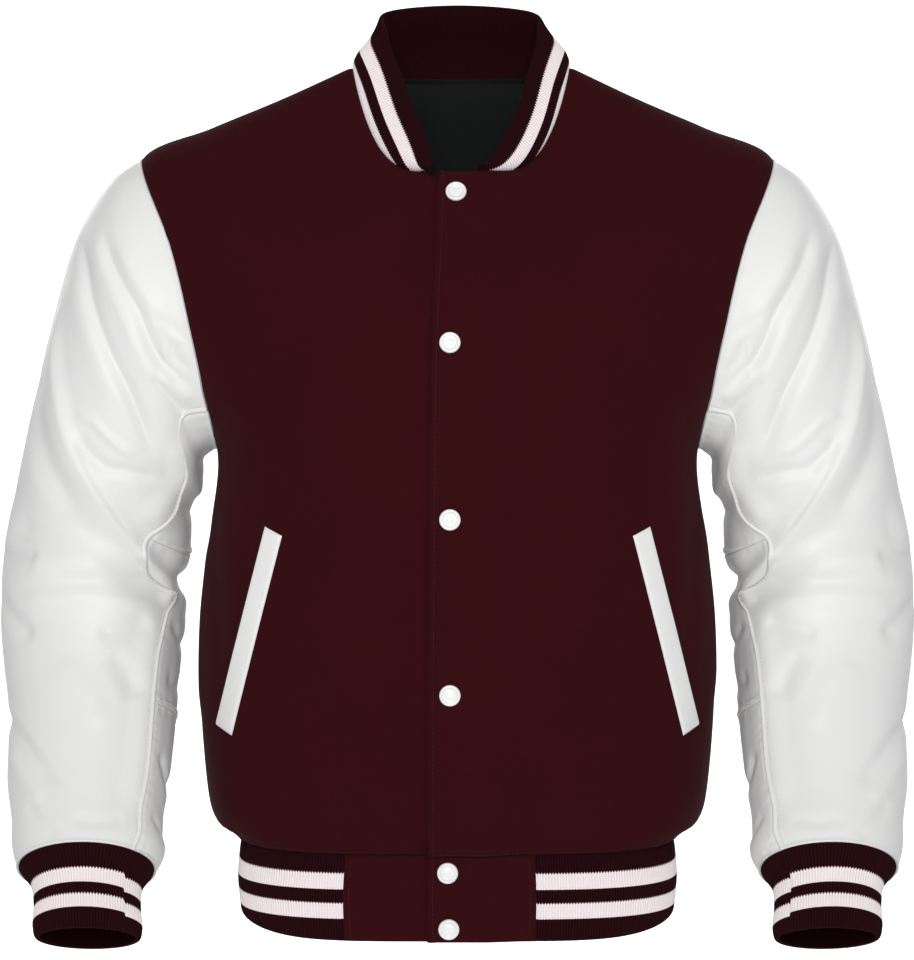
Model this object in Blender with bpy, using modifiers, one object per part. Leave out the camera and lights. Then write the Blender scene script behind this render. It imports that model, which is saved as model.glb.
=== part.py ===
"""Varsity jacket: wool body, leather sleeves, rib-knit collar, cuffs and hem band, six snaps.

Metres, +Z up, the front faces -Y and the wearer's left is +X. The origin is the middle of the neck opening,
at the height of the shoulders' neck points. The cloth keeps the hollow form it has when worn.
"""
import math
from collections import namedtuple
from functools import lru_cache

import bpy
import numpy as np
from mathutils import Matrix

# ---------------------------------------------------------------- driving sizes
WOOL_WALL = 0.0025
LEATHER_WALL = 0.002
KNIT_WALL = 0.003
COLLAR_WALL = 0.004
LINING_WALL = 0.001
LINING_CLEARANCE = 0.0016
LINING_MARGIN = 0.005
SEAM_GAP = 0.0003
BLUNT_SEAM = 0.7                    # cosine between a rim's own direction and its seam's shared one
SMOOTH_ANGLE = 40
LAP_GAP = 0.0008
LAP_LIFT = WOOL_WALL + LAP_GAP      # the left front lies on the right one at the closure
LAP_FLAT_TO = 0.020                 # the lift is full up to here from the centre line
LAP_ENDS_AT = 0.055                 # and has died out here
UNDERLAP_EDGE = 0.0105              # the right front's edge, under the left one

RIB_PITCH = 0.0048
RIB_DEPTH = 0.0009

TAB_RIGHT_END = -0.0908             # the wool tabs end and the rib band begins at these places
TAB_LEFT_END = 0.0625
COLLAR_END = 0.0172                 # the collar's two ends, either side of the centre line

# Rings of the body, from the hem seam up to the neckline. Above the underarm a ring climbs at its sides.
BODY_COLUMNS = ("half_width", "side_z", "front_z", "front_y", "back_z", "back_y", "square", "rise",
                "centre_x", "closure_x")
BODY_ROWS = (
    (0.1810, -0.641, -0.643, 0.1180, -0.641, 0.112, 3.8, 4.0, 0.0, -0.0245),    # 0 hem seam
    (0.1895, -0.634, -0.636, 0.1250, -0.634, 0.119, 3.5, 4.0, 0.0, -0.0245),    # 1 lowest fold of the blouse
    (0.2020, -0.627, -0.618, 0.1340, -0.622, 0.128, 3.0, 3.0, 0.0, -0.0244),    # 2
    (0.2095, -0.602, -0.590, 0.1430, -0.592, 0.134, 2.8, 3.0, 0.0, -0.0243),    # 3 blouse
    (0.2155, -0.530, -0.526, 0.1490, -0.526, 0.136, 2.5, 3.0, 0.0, -0.0242),    # 4
    (0.2145, -0.460, -0.458, 0.1495, -0.456, 0.135, 2.5, 3.0, 0.0, -0.0238),    # 5 waist
    (0.2068, -0.385, -0.388, 0.1480, -0.382, 0.136, 2.4, 3.0, 0.0, -0.0233),    # 6
    (0.2015, -0.318, -0.325, 0.1440, -0.315, 0.137, 2.4, 3.0, 0.0, -0.0227),    # 7 underarm
    (0.2270, -0.262, -0.272, 0.1395, -0.260, 0.137, 2.4, 3.0, 0.0, -0.0222),    # 8
    (0.2520, -0.200, -0.226, 0.1310, -0.205, 0.134, 2.4, 3.0, 0.0, -0.0212),    # 9 middle of the armhole
    (0.2640, -0.135, -0.185, 0.1200, -0.150, 0.125, 2.4, 3.0, 0.0, -0.0195),    # 10
    (0.2630, -0.077, -0.150, 0.1060, -0.100, 0.110, 2.4, 3.0, 0.0, -0.0178),    # 11 shoulder point
    (0.2060, -0.051, -0.130, 0.0980, -0.066, 0.095, 2.3, 3.2, 0.001, -0.0170),  # 12
    (0.1480, -0.0265, -0.111, 0.0885, -0.034, 0.078, 2.2, 3.8, 0.002, -0.0165), # 13
    (0.0915, 0.000, -0.092, 0.0780, -0.004, 0.062, 2.0, 4.7, 0.003, -0.0160),   # 14 neckline
)
UNDERARM, SHOULDER, NECKLINE = 7, 11, 14
STATIONS_BELOW = (0.0, 0.6, 1.1, 1.5, 2.0, 2.6, 3.3, 4.0, 5.0, 6.0)     # rows under the armhole
STATIONS_ABOVE = (11.8, 12.6, 13.3, 14.0)                               # rows along the shoulder seam
ARMHOLE_STEPS = 12                  # rows beside the armhole, from the underarm to the shoulder point
ARMHOLE_FRONT = 0.27                # how far the armhole is cut into the front, as a share of the half ring
ARMHOLE_BACK = 0.25
FRONT_COLUMNS = 12
LAP_COLUMNS = 3                     # of these, the ones between the closure and the collar's end
BACK_COLUMNS = 18
LINING_ROWS = (4, 7, 9, 10, 12, 14, 16, 19, 22, 24, 26)     # rows of the back that the lining follows

# Rings of the rib band, with the body's columns: its bottom fold, its middle and the hem seam.
BAND_ROWS = (
    (0.1810, -0.701, -0.7135, 0.1180, -0.704, 0.1115, 4.0, 6.0, 0.0, -0.0240),
    (0.1835, -0.671, -0.6780, 0.1200, -0.672, 0.1135, 4.0, 6.0, 0.0, -0.0243),
    BODY_ROWS[0],
)

# Rings of the left sleeve after the armhole, by their inner and outer points seen from the front.
SLEEVE_COLUMNS = ("inner_x", "inner_z", "outer_x", "outer_z", "centre_y", "half_depth", "tilt", "front_seam")
SLEEVE_ROWS = (
    (0.2120, -0.326, 0.2870, -0.0930, 0.000, 0.0740, 0.0, 46.0),    # 1
    (0.2140, -0.340, 0.3060, -0.1180, 0.002, 0.0730, 0.0, 47.0),    # 2
    (0.2165, -0.354, 0.3220, -0.1500, 0.004, 0.0720, 0.0, 34.0),    # 3
    (0.2240, -0.367, 0.3370, -0.2000, 0.007, 0.0710, 0.0, 30.0),    # 4
    (0.2250, -0.382, 0.3500, -0.2500, 0.011, 0.0700, 0.0, 34.0),    # 5
    (0.2258, -0.398, 0.3620, -0.3000, 0.015, 0.0700, 0.0, 44.0),    # 6
    (0.2280, -0.416, 0.3730, -0.3500, 0.018, 0.0700, 0.0, 54.0),    # 7 above the elbow
    (0.2365, -0.434, 0.3825, -0.3930, 0.019, 0.0690, 4.0, 42.0),    # 8
    (0.2330, -0.447, 0.3860, -0.4300, 0.017, 0.0680, 8.0, 24.0),    # 9 elbow
    (0.2305, -0.466, 0.3860, -0.4680, 0.010, 0.0670, 12.0, 32.0),   # 10
    (0.2330, -0.495, 0.3820, -0.5000, -0.003, 0.0640, 17.0, 38.0),  # 11
    (0.2345, -0.528, 0.3760, -0.5320, -0.020, 0.0620, 22.0, 40.0),  # 12
    (0.2360, -0.560, 0.3730, -0.5630, -0.040, 0.0590, 26.0, 40.0),  # 13
    (0.2380, -0.592, 0.3705, -0.5940, -0.064, 0.0560, 29.0, 39.0),  # 14
    (0.2405, -0.618, 0.3640, -0.6200, -0.087, 0.0530, 32.0, 40.0),  # 15
    (0.2370, -0.640, 0.3605, -0.6400, -0.108, 0.0510, 35.0, 42.0),  # 16 puffed over the cuff
    (0.2430, -0.652, 0.3540, -0.6530, -0.125, 0.0460, 38.0, 42.0),  # 17 cuff seam
)
SLEEVE_END = len(SLEEVE_ROWS)
SLEEVE_STATIONS = (0.0, 0.5, 1.0, 1.8, 2.6, 3.4, 4.2, 5.0, 5.8, 6.6, 7.3, 7.9, 8.6, 9.4, 10.3, 11.3, 12.4,
                   13.3, 14.2, 15.1, 16.0, 17.0)
ELBOW_SEAM_ROW, WRIST_SEAM_ROW = 9, 16     # rows of SLEEVE_STATIONS with the under sleeve's cross seams
SLEEVE_STEPS = 24                           # columns all round
UNDER_BACK_SEAM = -45.0                     # degrees from the sleeve's inner line, front positive
UNDER_STEPS = 6

# Soft folds of the left sleeve, in angle and station: a ridge where the height is positive, else a trough.
SLEEVE_FOLD_COLUMNS = ("height", "half_width", "path")
SLEEVE_FOLDS = (
    (0.0065, 0.030, ((154, 4.5), (130, 5.2), (100, 6.2), (58, 6.8), (32, 7.8), (18, 8.6))),     # over the elbow
    (-0.0055, 0.028, ((152, 5.7), (128, 6.5), (98, 7.6), (66, 8.0))),                           # under that ridge
    (-0.0050, 0.026, ((156, 2.6), (122, 3.1), (98, 3.4), (76, 3.5), (60, 4.1))),                # across the upper arm
    (-0.0040, 0.026, ((134, 1.9), (104, 1.6), (76, 1.5))),
    (-0.0035, 0.026, ((146, 9.4), (122, 9.4))),                                                 # outside the elbow
    (-0.0035, 0.028, ((130, 13.7), (104, 14.3))),                                               # forearm
    (0.0045, 0.030, ((208, 6.4), (250, 7.2), (300, 7.9))),                                      # behind the elbow
    (-0.0040, 0.028, ((214, 8.2), (256, 9.0), (296, 9.6))),
    (-0.0040, 0.028, ((220, 3.0), (262, 3.8))),
)
FOLD_METRES = (0.00122, 0.036)      # cloth length of one degree round the sleeve and of one station along it

# Rings of the cuff after its seam: centre, half width, half depth and tilt.
CUFF_COLUMNS = ("centre_x", "centre_y", "centre_z", "half_width", "half_depth", "tilt")
CUFF_ROWS = (
    (0.2972, -0.1335, -0.6650, 0.0450, 0.0365, 36.0),
    (0.2955, -0.1450, -0.6800, 0.0428, 0.0318, 33.0),
    (0.2935, -0.1600, -0.7030, 0.0430, 0.0300, 30.0),
)

# Top fold of the collar, from its end on the wearer's left round the back to the end on the right.
COLLAR_FOLD_COLUMNS = ("share", "x", "y", "z")
COLLAR_FOLD_ROWS = (
    (0.00, 0.0185, -0.0765, -0.0875),
    (0.07, 0.0350, -0.0635, -0.0660),
    (0.14, 0.0490, -0.0440, -0.0360),
    (0.21, 0.0590, -0.0240, -0.0020),
    (0.29, 0.0680, 0.0000, 0.0300),
    (0.38, 0.0640, 0.0260, 0.0490),
    (0.50, 0.0010, 0.0430, 0.0565),
    (0.62, -0.0610, 0.0260, 0.0490),
    (0.71, -0.0600, 0.0000, 0.0300),
    (0.79, -0.0480, -0.0240, -0.0020),
    (0.86, -0.0375, -0.0440, -0.0330),
    (0.93, -0.0255, -0.0625, -0.0620),
    (1.00, -0.0180, -0.0765, -0.0880),
)
COLLAR_STEPS = 3
COLLAR_BULGE = 0.0025

WELT_TOP = (0.1475, -0.381)         # pocket welt: x and z of the ends of its middle line
WELT_BOTTOM = (0.1900, -0.545)
WELT_WIDTH = 0.0155
WELT_WALL = 0.0018
WELT_STANDOFF = 0.0006
WELT_STEPS = 8

SNAPS = ((-0.0012, -0.1085), (-0.0060, -0.2298), (-0.0060, -0.3696), (-0.0060, -0.5089),
         (-0.0080, -0.6565), (-0.0070, -0.7020))    # x and z of each cap's middle, top to bottom
SNAP_RADIUS = 0.0085
SNAP_RIM = 0.0011
SNAP_RISE = 0.0032
SNAP_STANDOFF = 0.0004
SNAP_STEPS = 14
SNAP_DOME_STEPS = 3

COLLECTION = "varsity_jacket"
HANDS = (("left", 1), ("right", -1))
FINISHES = {    # colour, roughness, metallic
    "wool": ((0.040, 0.006, 0.008, 1.0), 0.95, 0.0),
    "knit": ((0.028, 0.004, 0.006, 1.0), 0.90, 0.0),
    "leather": ((0.800, 0.800, 0.795, 1.0), 0.45, 0.0),
    "lining": ((0.006, 0.007, 0.007, 1.0), 0.55, 0.0),
    "snap": ((0.900, 0.900, 0.895, 1.0), 0.20, 0.0),
}


# ---------------------------------------------------------------- surfaces
@lru_cache(maxsize=None)
def smooth_row(rows, station):
    """Values of a table at a station between its rows, along a smooth curve through them."""
    table = np.array(rows)
    last = len(table) - 1
    index = min(max(int(station), 0), last - 1)
    t = station - index
    before, here, there, after = (table[min(max(k, 0), last)] for k in range(index - 1, index + 3))
    curve = (there - before) * t + (2 * before - 5 * here + 4 * there - after) * t ** 2
    return here + 0.5 * (curve + (3 * here - before - 3 * there + after) * t ** 3)


@lru_cache(maxsize=None)
def ring_at(rows, station):
    return dict(zip(BODY_COLUMNS, smooth_row(rows, station)))


@lru_cache(maxsize=None)
def rounded_quarter(half_width, depth, square):
    """Length shares, x and y of a rounded quarter from the centre line to the side."""
    t = np.linspace(0, math.pi / 2, 121)
    x = half_width * np.sin(t) ** (2 / square)
    y = depth * np.cos(t) ** (2 / square)
    run = np.concatenate(([0.0], np.cumsum(np.hypot(np.diff(x), np.diff(y)))))
    return run / run[-1], x, y


def ring_point(rows, station, turn):
    """Point of a ring. Turn is 0 at the front centre, 1 and -1 at the left and right side, 2 at the back."""
    ring = ring_at(rows, station)
    in_front = abs(turn) <= 1
    share = 1 - abs(1 - abs(turn))
    depth = ring["front_y"] if in_front else ring["back_y"]
    end_z = ring["front_z"] if in_front else ring["back_z"]
    shares, xs, ys = rounded_quarter(ring["half_width"], depth, ring["square"])
    x = np.interp(share, shares, xs)
    y = np.interp(share, shares, ys)
    z = end_z + (ring["side_z"] - end_z) * (x / ring["half_width"]) ** ring["rise"]
    return np.array((ring["centre_x"] + math.copysign(x, turn), -y if in_front else y, z))


def turn_at_x(rows, station, x):
    """Turn of the front ring's point with this x."""
    ring = ring_at(rows, station)
    shares, xs, _ = rounded_quarter(ring["half_width"], ring["front_y"], ring["square"])
    reach = x - ring["centre_x"]
    return math.copysign(float(np.interp(abs(reach), xs, shares)), reach)


def closure_turn(rows, station):
    return turn_at_x(rows, station, ring_at(rows, station)["closure_x"])


def unit(vector):
    return vector / np.linalg.norm(vector)


def ring_normal(rows, station, turn):
    """Outward direction of the surface through the rings."""
    step = 0.02
    low, high = max(station - step, 0.0), min(station + step, len(rows) - 1.0)
    up = ring_point(rows, high, turn) - ring_point(rows, low, turn)
    along = ring_point(rows, station, turn + step) - ring_point(rows, station, turn - step)
    return unit(np.cross(along, up))


def hem_direction(turn):
    """Direction at the hem seam between the body's surface and the band's, long enough to offset both."""
    body, band = ring_normal(BODY_ROWS, 0.0, turn), ring_normal(BAND_ROWS, len(BAND_ROWS) - 1.0, turn)
    middle = unit(body + band)
    return middle / np.dot(middle, body)


def lap_lift(x):
    """How far the left front stands off the right one."""
    t = min(max((x - LAP_FLAT_TO) / (LAP_ENDS_AT - LAP_FLAT_TO), 0.0), 1.0)
    return LAP_LIFT * (1 - t * t * (3 - 2 * t))


def lapped_point(rows, station, turn):
    """Point of the left front or left tab, with its lift at the closure."""
    point = ring_point(rows, station, turn)
    at_hem = station == int(station) and rows[int(station)] is BODY_ROWS[0]
    direction = hem_direction(turn) if at_hem else ring_normal(rows, station, turn)
    return point + direction * lap_lift(point[0])


def front_place(x, z):
    """Station and turn of the left front's point that is seen at this x and z."""
    first = 2 if z > BODY_ROWS[2][2] else 0
    rows = BODY_ROWS if first else BAND_ROWS
    stations = np.linspace(first, len(rows) - 1, 161)
    heights = [ring_point(rows, s, turn_at_x(rows, s, x))[2] for s in stations]
    station = float(np.interp(z, heights, stations))
    return rows, station, turn_at_x(rows, station, x)


def armhole(angle, depth):
    """Station and share of the half ring at an angle of the armhole, 0 at the underarm, 180 at the top."""
    middle, half = (UNDERARM + SHOULDER) / 2, (SHOULDER - UNDERARM) / 2
    return middle - half * math.cos(math.radians(angle)), depth * math.sin(math.radians(angle))


def panel_rows(depth):
    """Stations of a body panel's rows with the share that the armhole takes from each."""
    beside = [armhole(180 * k / ARMHOLE_STEPS, depth) for k in range(ARMHOLE_STEPS + 1)]
    return [(s, 0.0) for s in STATIONS_BELOW] + beside + [(s, 0.0) for s in STATIONS_ABOVE]


def front_turns(start, collar_end, side):
    """Turns of a front's columns from its closure to its side, with one of them at the collar's end."""
    lap = np.linspace(start, collar_end, LAP_COLUMNS + 1)[:-1]
    return np.concatenate((lap, np.linspace(collar_end, side, FRONT_COLUMNS - LAP_COLUMNS + 1)))


def left_turns(rows, station, cut):
    return front_turns(closure_turn(rows, station), turn_at_x(rows, station, COLLAR_END), 1 - cut)


def right_turns(rows, station, cut):
    under = turn_at_x(rows, station, UNDERLAP_EDGE)
    return front_turns(under, turn_at_x(rows, station, -COLLAR_END), -1 + cut)[::-1]


def back_turns(cut):
    return [t if t <= 2 else t - 4 for t in np.linspace(1 + cut, 3 - cut, BACK_COLUMNS + 1)]


def body_grids():
    """Grids of the left front, the back and the right front, rows running up, columns round to the left."""
    front, back = panel_rows(ARMHOLE_FRONT), panel_rows(ARMHOLE_BACK)
    left = [[lapped_point(BODY_ROWS, s, t) for t in left_turns(BODY_ROWS, s, cut)] for s, cut in front]
    right = [[ring_point(BODY_ROWS, s, t) for t in right_turns(BODY_ROWS, s, cut)] for s, cut in front]
    behind = [[ring_point(BODY_ROWS, s, t) for t in back_turns(cut)] for s, cut in back]
    return np.array(left), np.array(behind), np.array(right)


@lru_cache(maxsize=None)
def sleeve_line(angle, side):
    """Points of one lengthwise line of a sleeve, seen as a left one, from the armhole to the cuff seam."""
    across, forward = math.cos(math.radians(angle)), math.sin(math.radians(angle))
    if forward >= 0:
        station, cut = armhole(angle % 360, ARMHOLE_FRONT)
        points = [ring_point(BODY_ROWS, station, side * (1 - cut)) * (side, 1, 1)]
    else:
        station, cut = armhole(360 - angle % 360, ARMHOLE_BACK)
        points = [ring_point(BODY_ROWS, station, side * (1 + cut)) * (side, 1, 1)]
    for values in SLEEVE_ROWS:
        ring = dict(zip(SLEEVE_COLUMNS, values))
        inner = np.array((ring["inner_x"], ring["centre_y"], ring["inner_z"]))
        outer = np.array((ring["outer_x"], ring["centre_y"], ring["outer_z"]))
        tilt = math.radians(ring["tilt"])
        front = np.array((0.0, -math.cos(tilt), math.sin(tilt))) * ring["half_depth"]
        points.append((inner + outer) / 2 + (inner - outer) / 2 * across + front * forward)
    return tuple(tuple(p) for p in points)


def path_distance(place, path):
    """Distance in the cloth from a place to a path, both in angle and station."""
    place = np.array(place) * FOLD_METRES
    points = np.array(path) * FOLD_METRES
    gaps = []
    for start, end in zip(points[:-1], points[1:]):
        along = end - start
        share = min(max(float(np.dot(place - start, along) / np.dot(along, along)), 0.0), 1.0)
        gaps.append(np.linalg.norm(place - start - along * share))
    return min(gaps)


def fold_height(angle, station):
    """How far the sleeve's folds raise it, dying out towards its two end seams."""
    height = 0.0
    for rise, half_width, path in SLEEVE_FOLDS:
        gap = path_distance((angle % 360, station), path)
        height += rise * (0.5 + 0.5 * math.cos(math.pi * min(gap / half_width, 1.0)))
    return height * min(station, SLEEVE_END - station, 1.0)


@lru_cache(maxsize=None)
def sleeve_point(angle, station, side):
    point = smooth_row(sleeve_line(angle, side), station)
    middle = (smooth_row(sleeve_line(0.0, side), station) + smooth_row(sleeve_line(180.0, side), station)) / 2
    return (point + unit(point - middle) * fold_height(angle, station)) * (side, 1, 1)


def sleeve_angles(station):
    """Angles of the sleeve's columns: the under sleeve from its back seam to its front one, then the top."""
    seams = ((UNDER_STEPS * 7.5,),) + tuple((row[-1],) for row in SLEEVE_ROWS)
    front = float(smooth_row(seams, station)[0])
    under = np.linspace(UNDER_BACK_SEAM, front, UNDER_STEPS + 1)
    top = np.linspace(front, 360 + UNDER_BACK_SEAM, SLEEVE_STEPS - UNDER_STEPS + 1)
    return [round(float(a), 6) for a in under], [round(float(a), 6) for a in top]


def faced(grid, side):
    """A left-hand grid, or its mirror image with its columns turned round so that it still faces outwards."""
    return grid if side > 0 else grid[:, ::-1]


def sleeve_grid(side, top, first_row, last_row):
    """Grid of a sleeve panel between two rows of SLEEVE_STATIONS."""
    rows = [[sleeve_point(a, station, side) for a in sleeve_angles(station)[1 if top else 0]]
            for station in SLEEVE_STATIONS[first_row:last_row + 1]]
    return faced(np.array(rows)[::-1], side)


def cuff_grid(side):
    """Rib cuff: a tube from the sleeve's end ring, drawn in quickly and then even down to its opening."""
    under, top = sleeve_angles(float(SLEEVE_END))
    angles = under[:-1] + top[:-1]
    rings = [[sleeve_point(a, float(SLEEVE_END), side) for a in angles]]
    for values in CUFF_ROWS:
        ring = dict(zip(CUFF_COLUMNS, values))
        tilt = math.radians(ring["tilt"])
        points = []
        for a in angles:
            across, forward = math.cos(math.radians(a)), math.sin(math.radians(a)) * ring["half_depth"]
            points.append((side * (ring["centre_x"] - ring["half_width"] * across),
                           ring["centre_y"] - forward * math.cos(tilt), ring["centre_z"] + forward * math.sin(tilt)))
        rings.append(points)
    return faced(np.array(rings)[::-1], side)


def collar_grid(left, behind, right):
    """Standing collar: a loft from the neckline up to its fold, tapering to the two front ends."""
    base = np.vstack((left[-1][LAP_COLUMNS:], behind[-1][1:-1], right[-1][:-LAP_COLUMNS]))
    run = np.concatenate(([0.0], np.cumsum(np.linalg.norm(np.diff(base, axis=0), axis=1))))
    stations = np.interp(run / run[-1], [row[0] for row in COLLAR_FOLD_ROWS], range(len(COLLAR_FOLD_ROWS)))
    places = tuple(row[1:] for row in COLLAR_FOLD_ROWS)
    fold = np.array([smooth_row(places, float(s)) for s in stations])
    heights = np.linspace(0, 1, COLLAR_STEPS + 1)[:, None, None]
    grid = base + (fold - base) * heights
    return grid + grid_normals(grid, False) * np.sin(heights * math.pi) * COLLAR_BULGE


def hem_grids():
    """Grids of the rib band and of the left and right tabs, their seam rows on the body's rim points."""
    top = len(BAND_ROWS) - 1.0
    left_end, right_end = turn_at_x(BAND_ROWS, top, TAB_LEFT_END), turn_at_x(BAND_ROWS, top, TAB_RIGHT_END)
    under = turn_at_x(BAND_ROWS, top, UNDERLAP_EDGE)
    round_back = [left_end] + [t for t in left_turns(BAND_ROWS, top, 0) if t > left_end] + back_turns(0)[1:-1]
    round_back += [t for t in right_turns(BAND_ROWS, top, 0) if t < right_end] + [right_end]
    stations = [float(k) for k in range(len(BAND_ROWS))]
    rib = [[(lapped_point if 0 < t < 1 else ring_point)(BAND_ROWS, s, t) for t in round_back] for s in stations]
    left = [[lapped_point(BAND_ROWS, s, t) for t in np.linspace(closure_turn(BAND_ROWS, top), left_end, 5)]
            for s in stations]
    right = [[ring_point(BAND_ROWS, s, t) for t in np.linspace(right_end, under, 6)] for s in stations]
    return np.array(rib), np.array(left), np.array(right)


# ---------------------------------------------------------------- walls
Piece = namedtuple("Piece", "grid wall finish ribbed closed", defaults=(False, False))


def grid_normals(grid, closed):
    """Outward directions at a grid's points, its rows running up and its columns to the right from outside."""
    along = np.gradient(grid, axis=1)
    if closed:
        along = np.roll(grid, -1, 1) - np.roll(grid, 1, 1)
    cross = np.cross(along, np.gradient(grid, axis=0))
    return cross / np.linalg.norm(cross, axis=2, keepdims=True)


def inward_steps(line, inside, closed):
    """Unit steps in the surface from a rim line towards the next line inside it."""
    along = np.gradient(line, axis=0)
    if closed:
        along = np.roll(line, -1, 0) - np.roll(line, 1, 0)
    along = along / np.linalg.norm(along, axis=1, keepdims=True)
    step = inside - line
    step = step - along * np.sum(step * along, axis=1, keepdims=True)
    return step / np.linalg.norm(step, axis=1, keepdims=True)


def rim_steps(grid, closed):
    """For each point on the rim, its unit step in the surface away from the rim; nothing elsewhere."""
    steps = np.zeros_like(grid)
    steps[0] += inward_steps(grid[0], grid[1], closed)
    steps[-1] += inward_steps(grid[-1], grid[-2], closed)
    if not closed:
        steps[:, 0] += inward_steps(grid[:, 0], grid[:, 1], False)
        steps[:, -1] += inward_steps(grid[:, -1], grid[:, -2], False)
    return steps


def rim_places(steps):
    return np.argwhere(np.linalg.norm(steps, axis=2) > 0)


def key(point):
    return tuple(float(v) for v in np.round(point, 5) + 0.0)


def seam_directions(pieces):
    """Sum of the outward directions of all the pieces that share each rim point."""
    sums = {}
    for piece in pieces:
        normals = grid_normals(piece.grid, piece.closed)
        for i, j in rim_places(rim_steps(piece.grid, piece.closed)):
            place = key(piece.grid[i, j])
            sums[place] = sums.get(place, 0) + normals[i, j]
    return sums


def wall_grids(piece, seams):
    """Outer and inner grid of a piece, drawn back from its seams.

    Where pieces meet at a blunt angle their rims follow its bisector, so that the walls don't cross.
    """
    normals, steps = grid_normals(piece.grid, piece.closed), rim_steps(piece.grid, piece.closed)
    for i, j in rim_places(steps):
        middle = unit(seams[key(piece.grid[i, j])])
        leaning = float(np.dot(middle, normals[i, j]))
        if leaning > BLUNT_SEAM:
            normals[i, j] = middle / leaning
    outer = piece.grid + steps * SEAM_GAP / 2
    return outer, outer - normals * piece.wall


def ribbed(grid, inner, closed):
    """Finer copy of an outer grid with raised ribs running up it: crests on the surface, grooves below it."""
    directions = (grid - inner) / np.linalg.norm(grid - inner, axis=2, keepdims=True)
    if closed:
        grid, directions = (np.concatenate((g, g[:, :1]), axis=1) for g in (grid, directions))
    run = np.linalg.norm(np.diff(grid[len(grid) // 2], axis=0), axis=1)
    run = np.concatenate(([0.0], np.cumsum(run)))
    places = np.linspace(0, run[-1], 2 * round(run[-1] / RIB_PITCH) + 1)
    groove = (RIB_DEPTH * (np.arange(len(places)) % 2))[:, None]
    rows = []
    for line in zip(grid, directions):
        at, out = (np.array([np.interp(places, run, v[:, k]) for k in range(3)]).T for v in line)
        rows.append(at - out * groove)
    return np.array(rows)[:, :-1] if closed else np.array(rows)


def bridge(points, first, second):
    """Triangles between two runs of vertices that go the same way, each across the shorter diagonal."""
    faces = []
    i, j = 0, 0
    ends = len(first) - 1, len(second) - 1
    while (i, j) != ends:
        ahead = i < ends[0] and np.linalg.norm(points[first[i + 1]] - points[second[j]])
        behind = j < ends[1] and np.linalg.norm(points[first[i]] - points[second[j + 1]])
        if j == ends[1] or (i < ends[0] and ahead < behind):
            faces.append((first[i], first[i + 1], second[j]))
            i += 1
        else:
            faces.append((first[i], second[j + 1], second[j]))
            j += 1
    return faces


def link_object(name, mesh, finish):
    mesh.materials.append(materials[finish])
    made = bpy.data.objects.new(name, mesh)
    parts.objects.link(made)
    return made


def add_wall(name, outer, inner, finish, closed=False):
    """Closed wall lofted from an outer and an inner grid, which may differ in their columns."""
    points, faces, grids = [], [], []
    for grid, inside in ((outer, False), (inner, True)):
        index = len(points) + np.arange(grid.shape[0] * grid.shape[1]).reshape(grid.shape[:2])
        points.extend(grid.reshape(-1, 3))
        if closed:
            index = np.hstack((index, index[:, :1]))
        grids.append(index)
        for low, high in zip(index[:-1], index[1:]):
            for k in range(len(low) - 1):
                corners = (low[k + 1], high[k + 1], high[k])
                faces.append((low[k], *(corners[::-1] if inside else corners)))
    out, back = grids
    faces += bridge(points, back[0], out[0]) + bridge(points, out[-1], back[-1])
    if not closed:
        faces += bridge(points, out[:, 0], back[:, 0]) + bridge(points, back[:, -1], out[:, -1])
    mesh = bpy.data.meshes.new(name)
    mesh.from_pydata([tuple(p) for p in points], [], [tuple(int(v) for v in face) for face in faces])
    mesh.shade_smooth()
    mesh.set_sharp_from_angle(angle=math.radians(SMOOTH_ANGLE))
    return link_object(name, mesh, finish)


# ---------------------------------------------------------------- pieces
def cloth_pieces():
    """All the pieces that are sewn edge to edge, by name."""
    left, behind, right = body_grids()
    rib, left_tab, right_tab = hem_grids()
    pieces = {"front_left": Piece(left, WOOL_WALL, "wool"), "front_right": Piece(right, WOOL_WALL, "wool"),
              "back": Piece(behind, WOOL_WALL, "wool"),
              "collar": Piece(collar_grid(left, behind, right), COLLAR_WALL, "knit", ribbed=True),
              "hem_rib": Piece(rib, KNIT_WALL, "knit", ribbed=True),
              "hem_tab_left": Piece(left_tab, WOOL_WALL, "wool"),
              "hem_tab_right": Piece(right_tab, WOOL_WALL, "wool")}
    last = len(SLEEVE_STATIONS) - 1
    lengths = {"upper": (0, ELBOW_SEAM_ROW), "middle": (ELBOW_SEAM_ROW, WRIST_SEAM_ROW), "lower": (WRIST_SEAM_ROW, last)}
    for hand, side in HANDS:
        pieces["sleeve_top_" + hand] = Piece(sleeve_grid(side, True, 0, last), LEATHER_WALL, "leather")
        for length, rows in lengths.items():
            grid = sleeve_grid(side, False, *rows)
            pieces["sleeve_under_" + length + "_" + hand] = Piece(grid, LEATHER_WALL, "leather")
        pieces["cuff_" + hand] = Piece(cuff_grid(side), KNIT_WALL, "knit", ribbed=True, closed=True)
    return pieces


def add_cloth(pieces):
    seams = seam_directions(pieces.values())
    for name, piece in pieces.items():
        outer, inner = wall_grids(piece, seams)
        if piece.ribbed:
            outer = ribbed(outer, inner, piece.closed)
        add_wall(name, outer, inner, piece.finish, piece.closed)


def add_lining(back):
    """Lining just inside the back, drawn back from its seams."""
    inside = back - grid_normals(back, False) * (WOOL_WALL + LINING_CLEARANCE)
    coarse = inside[LINING_ROWS, ::2]
    outer = coarse + rim_steps(coarse, False) * LINING_MARGIN
    add_wall("lining_back", outer, outer - grid_normals(coarse, False) * LINING_WALL, "lining")


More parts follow.
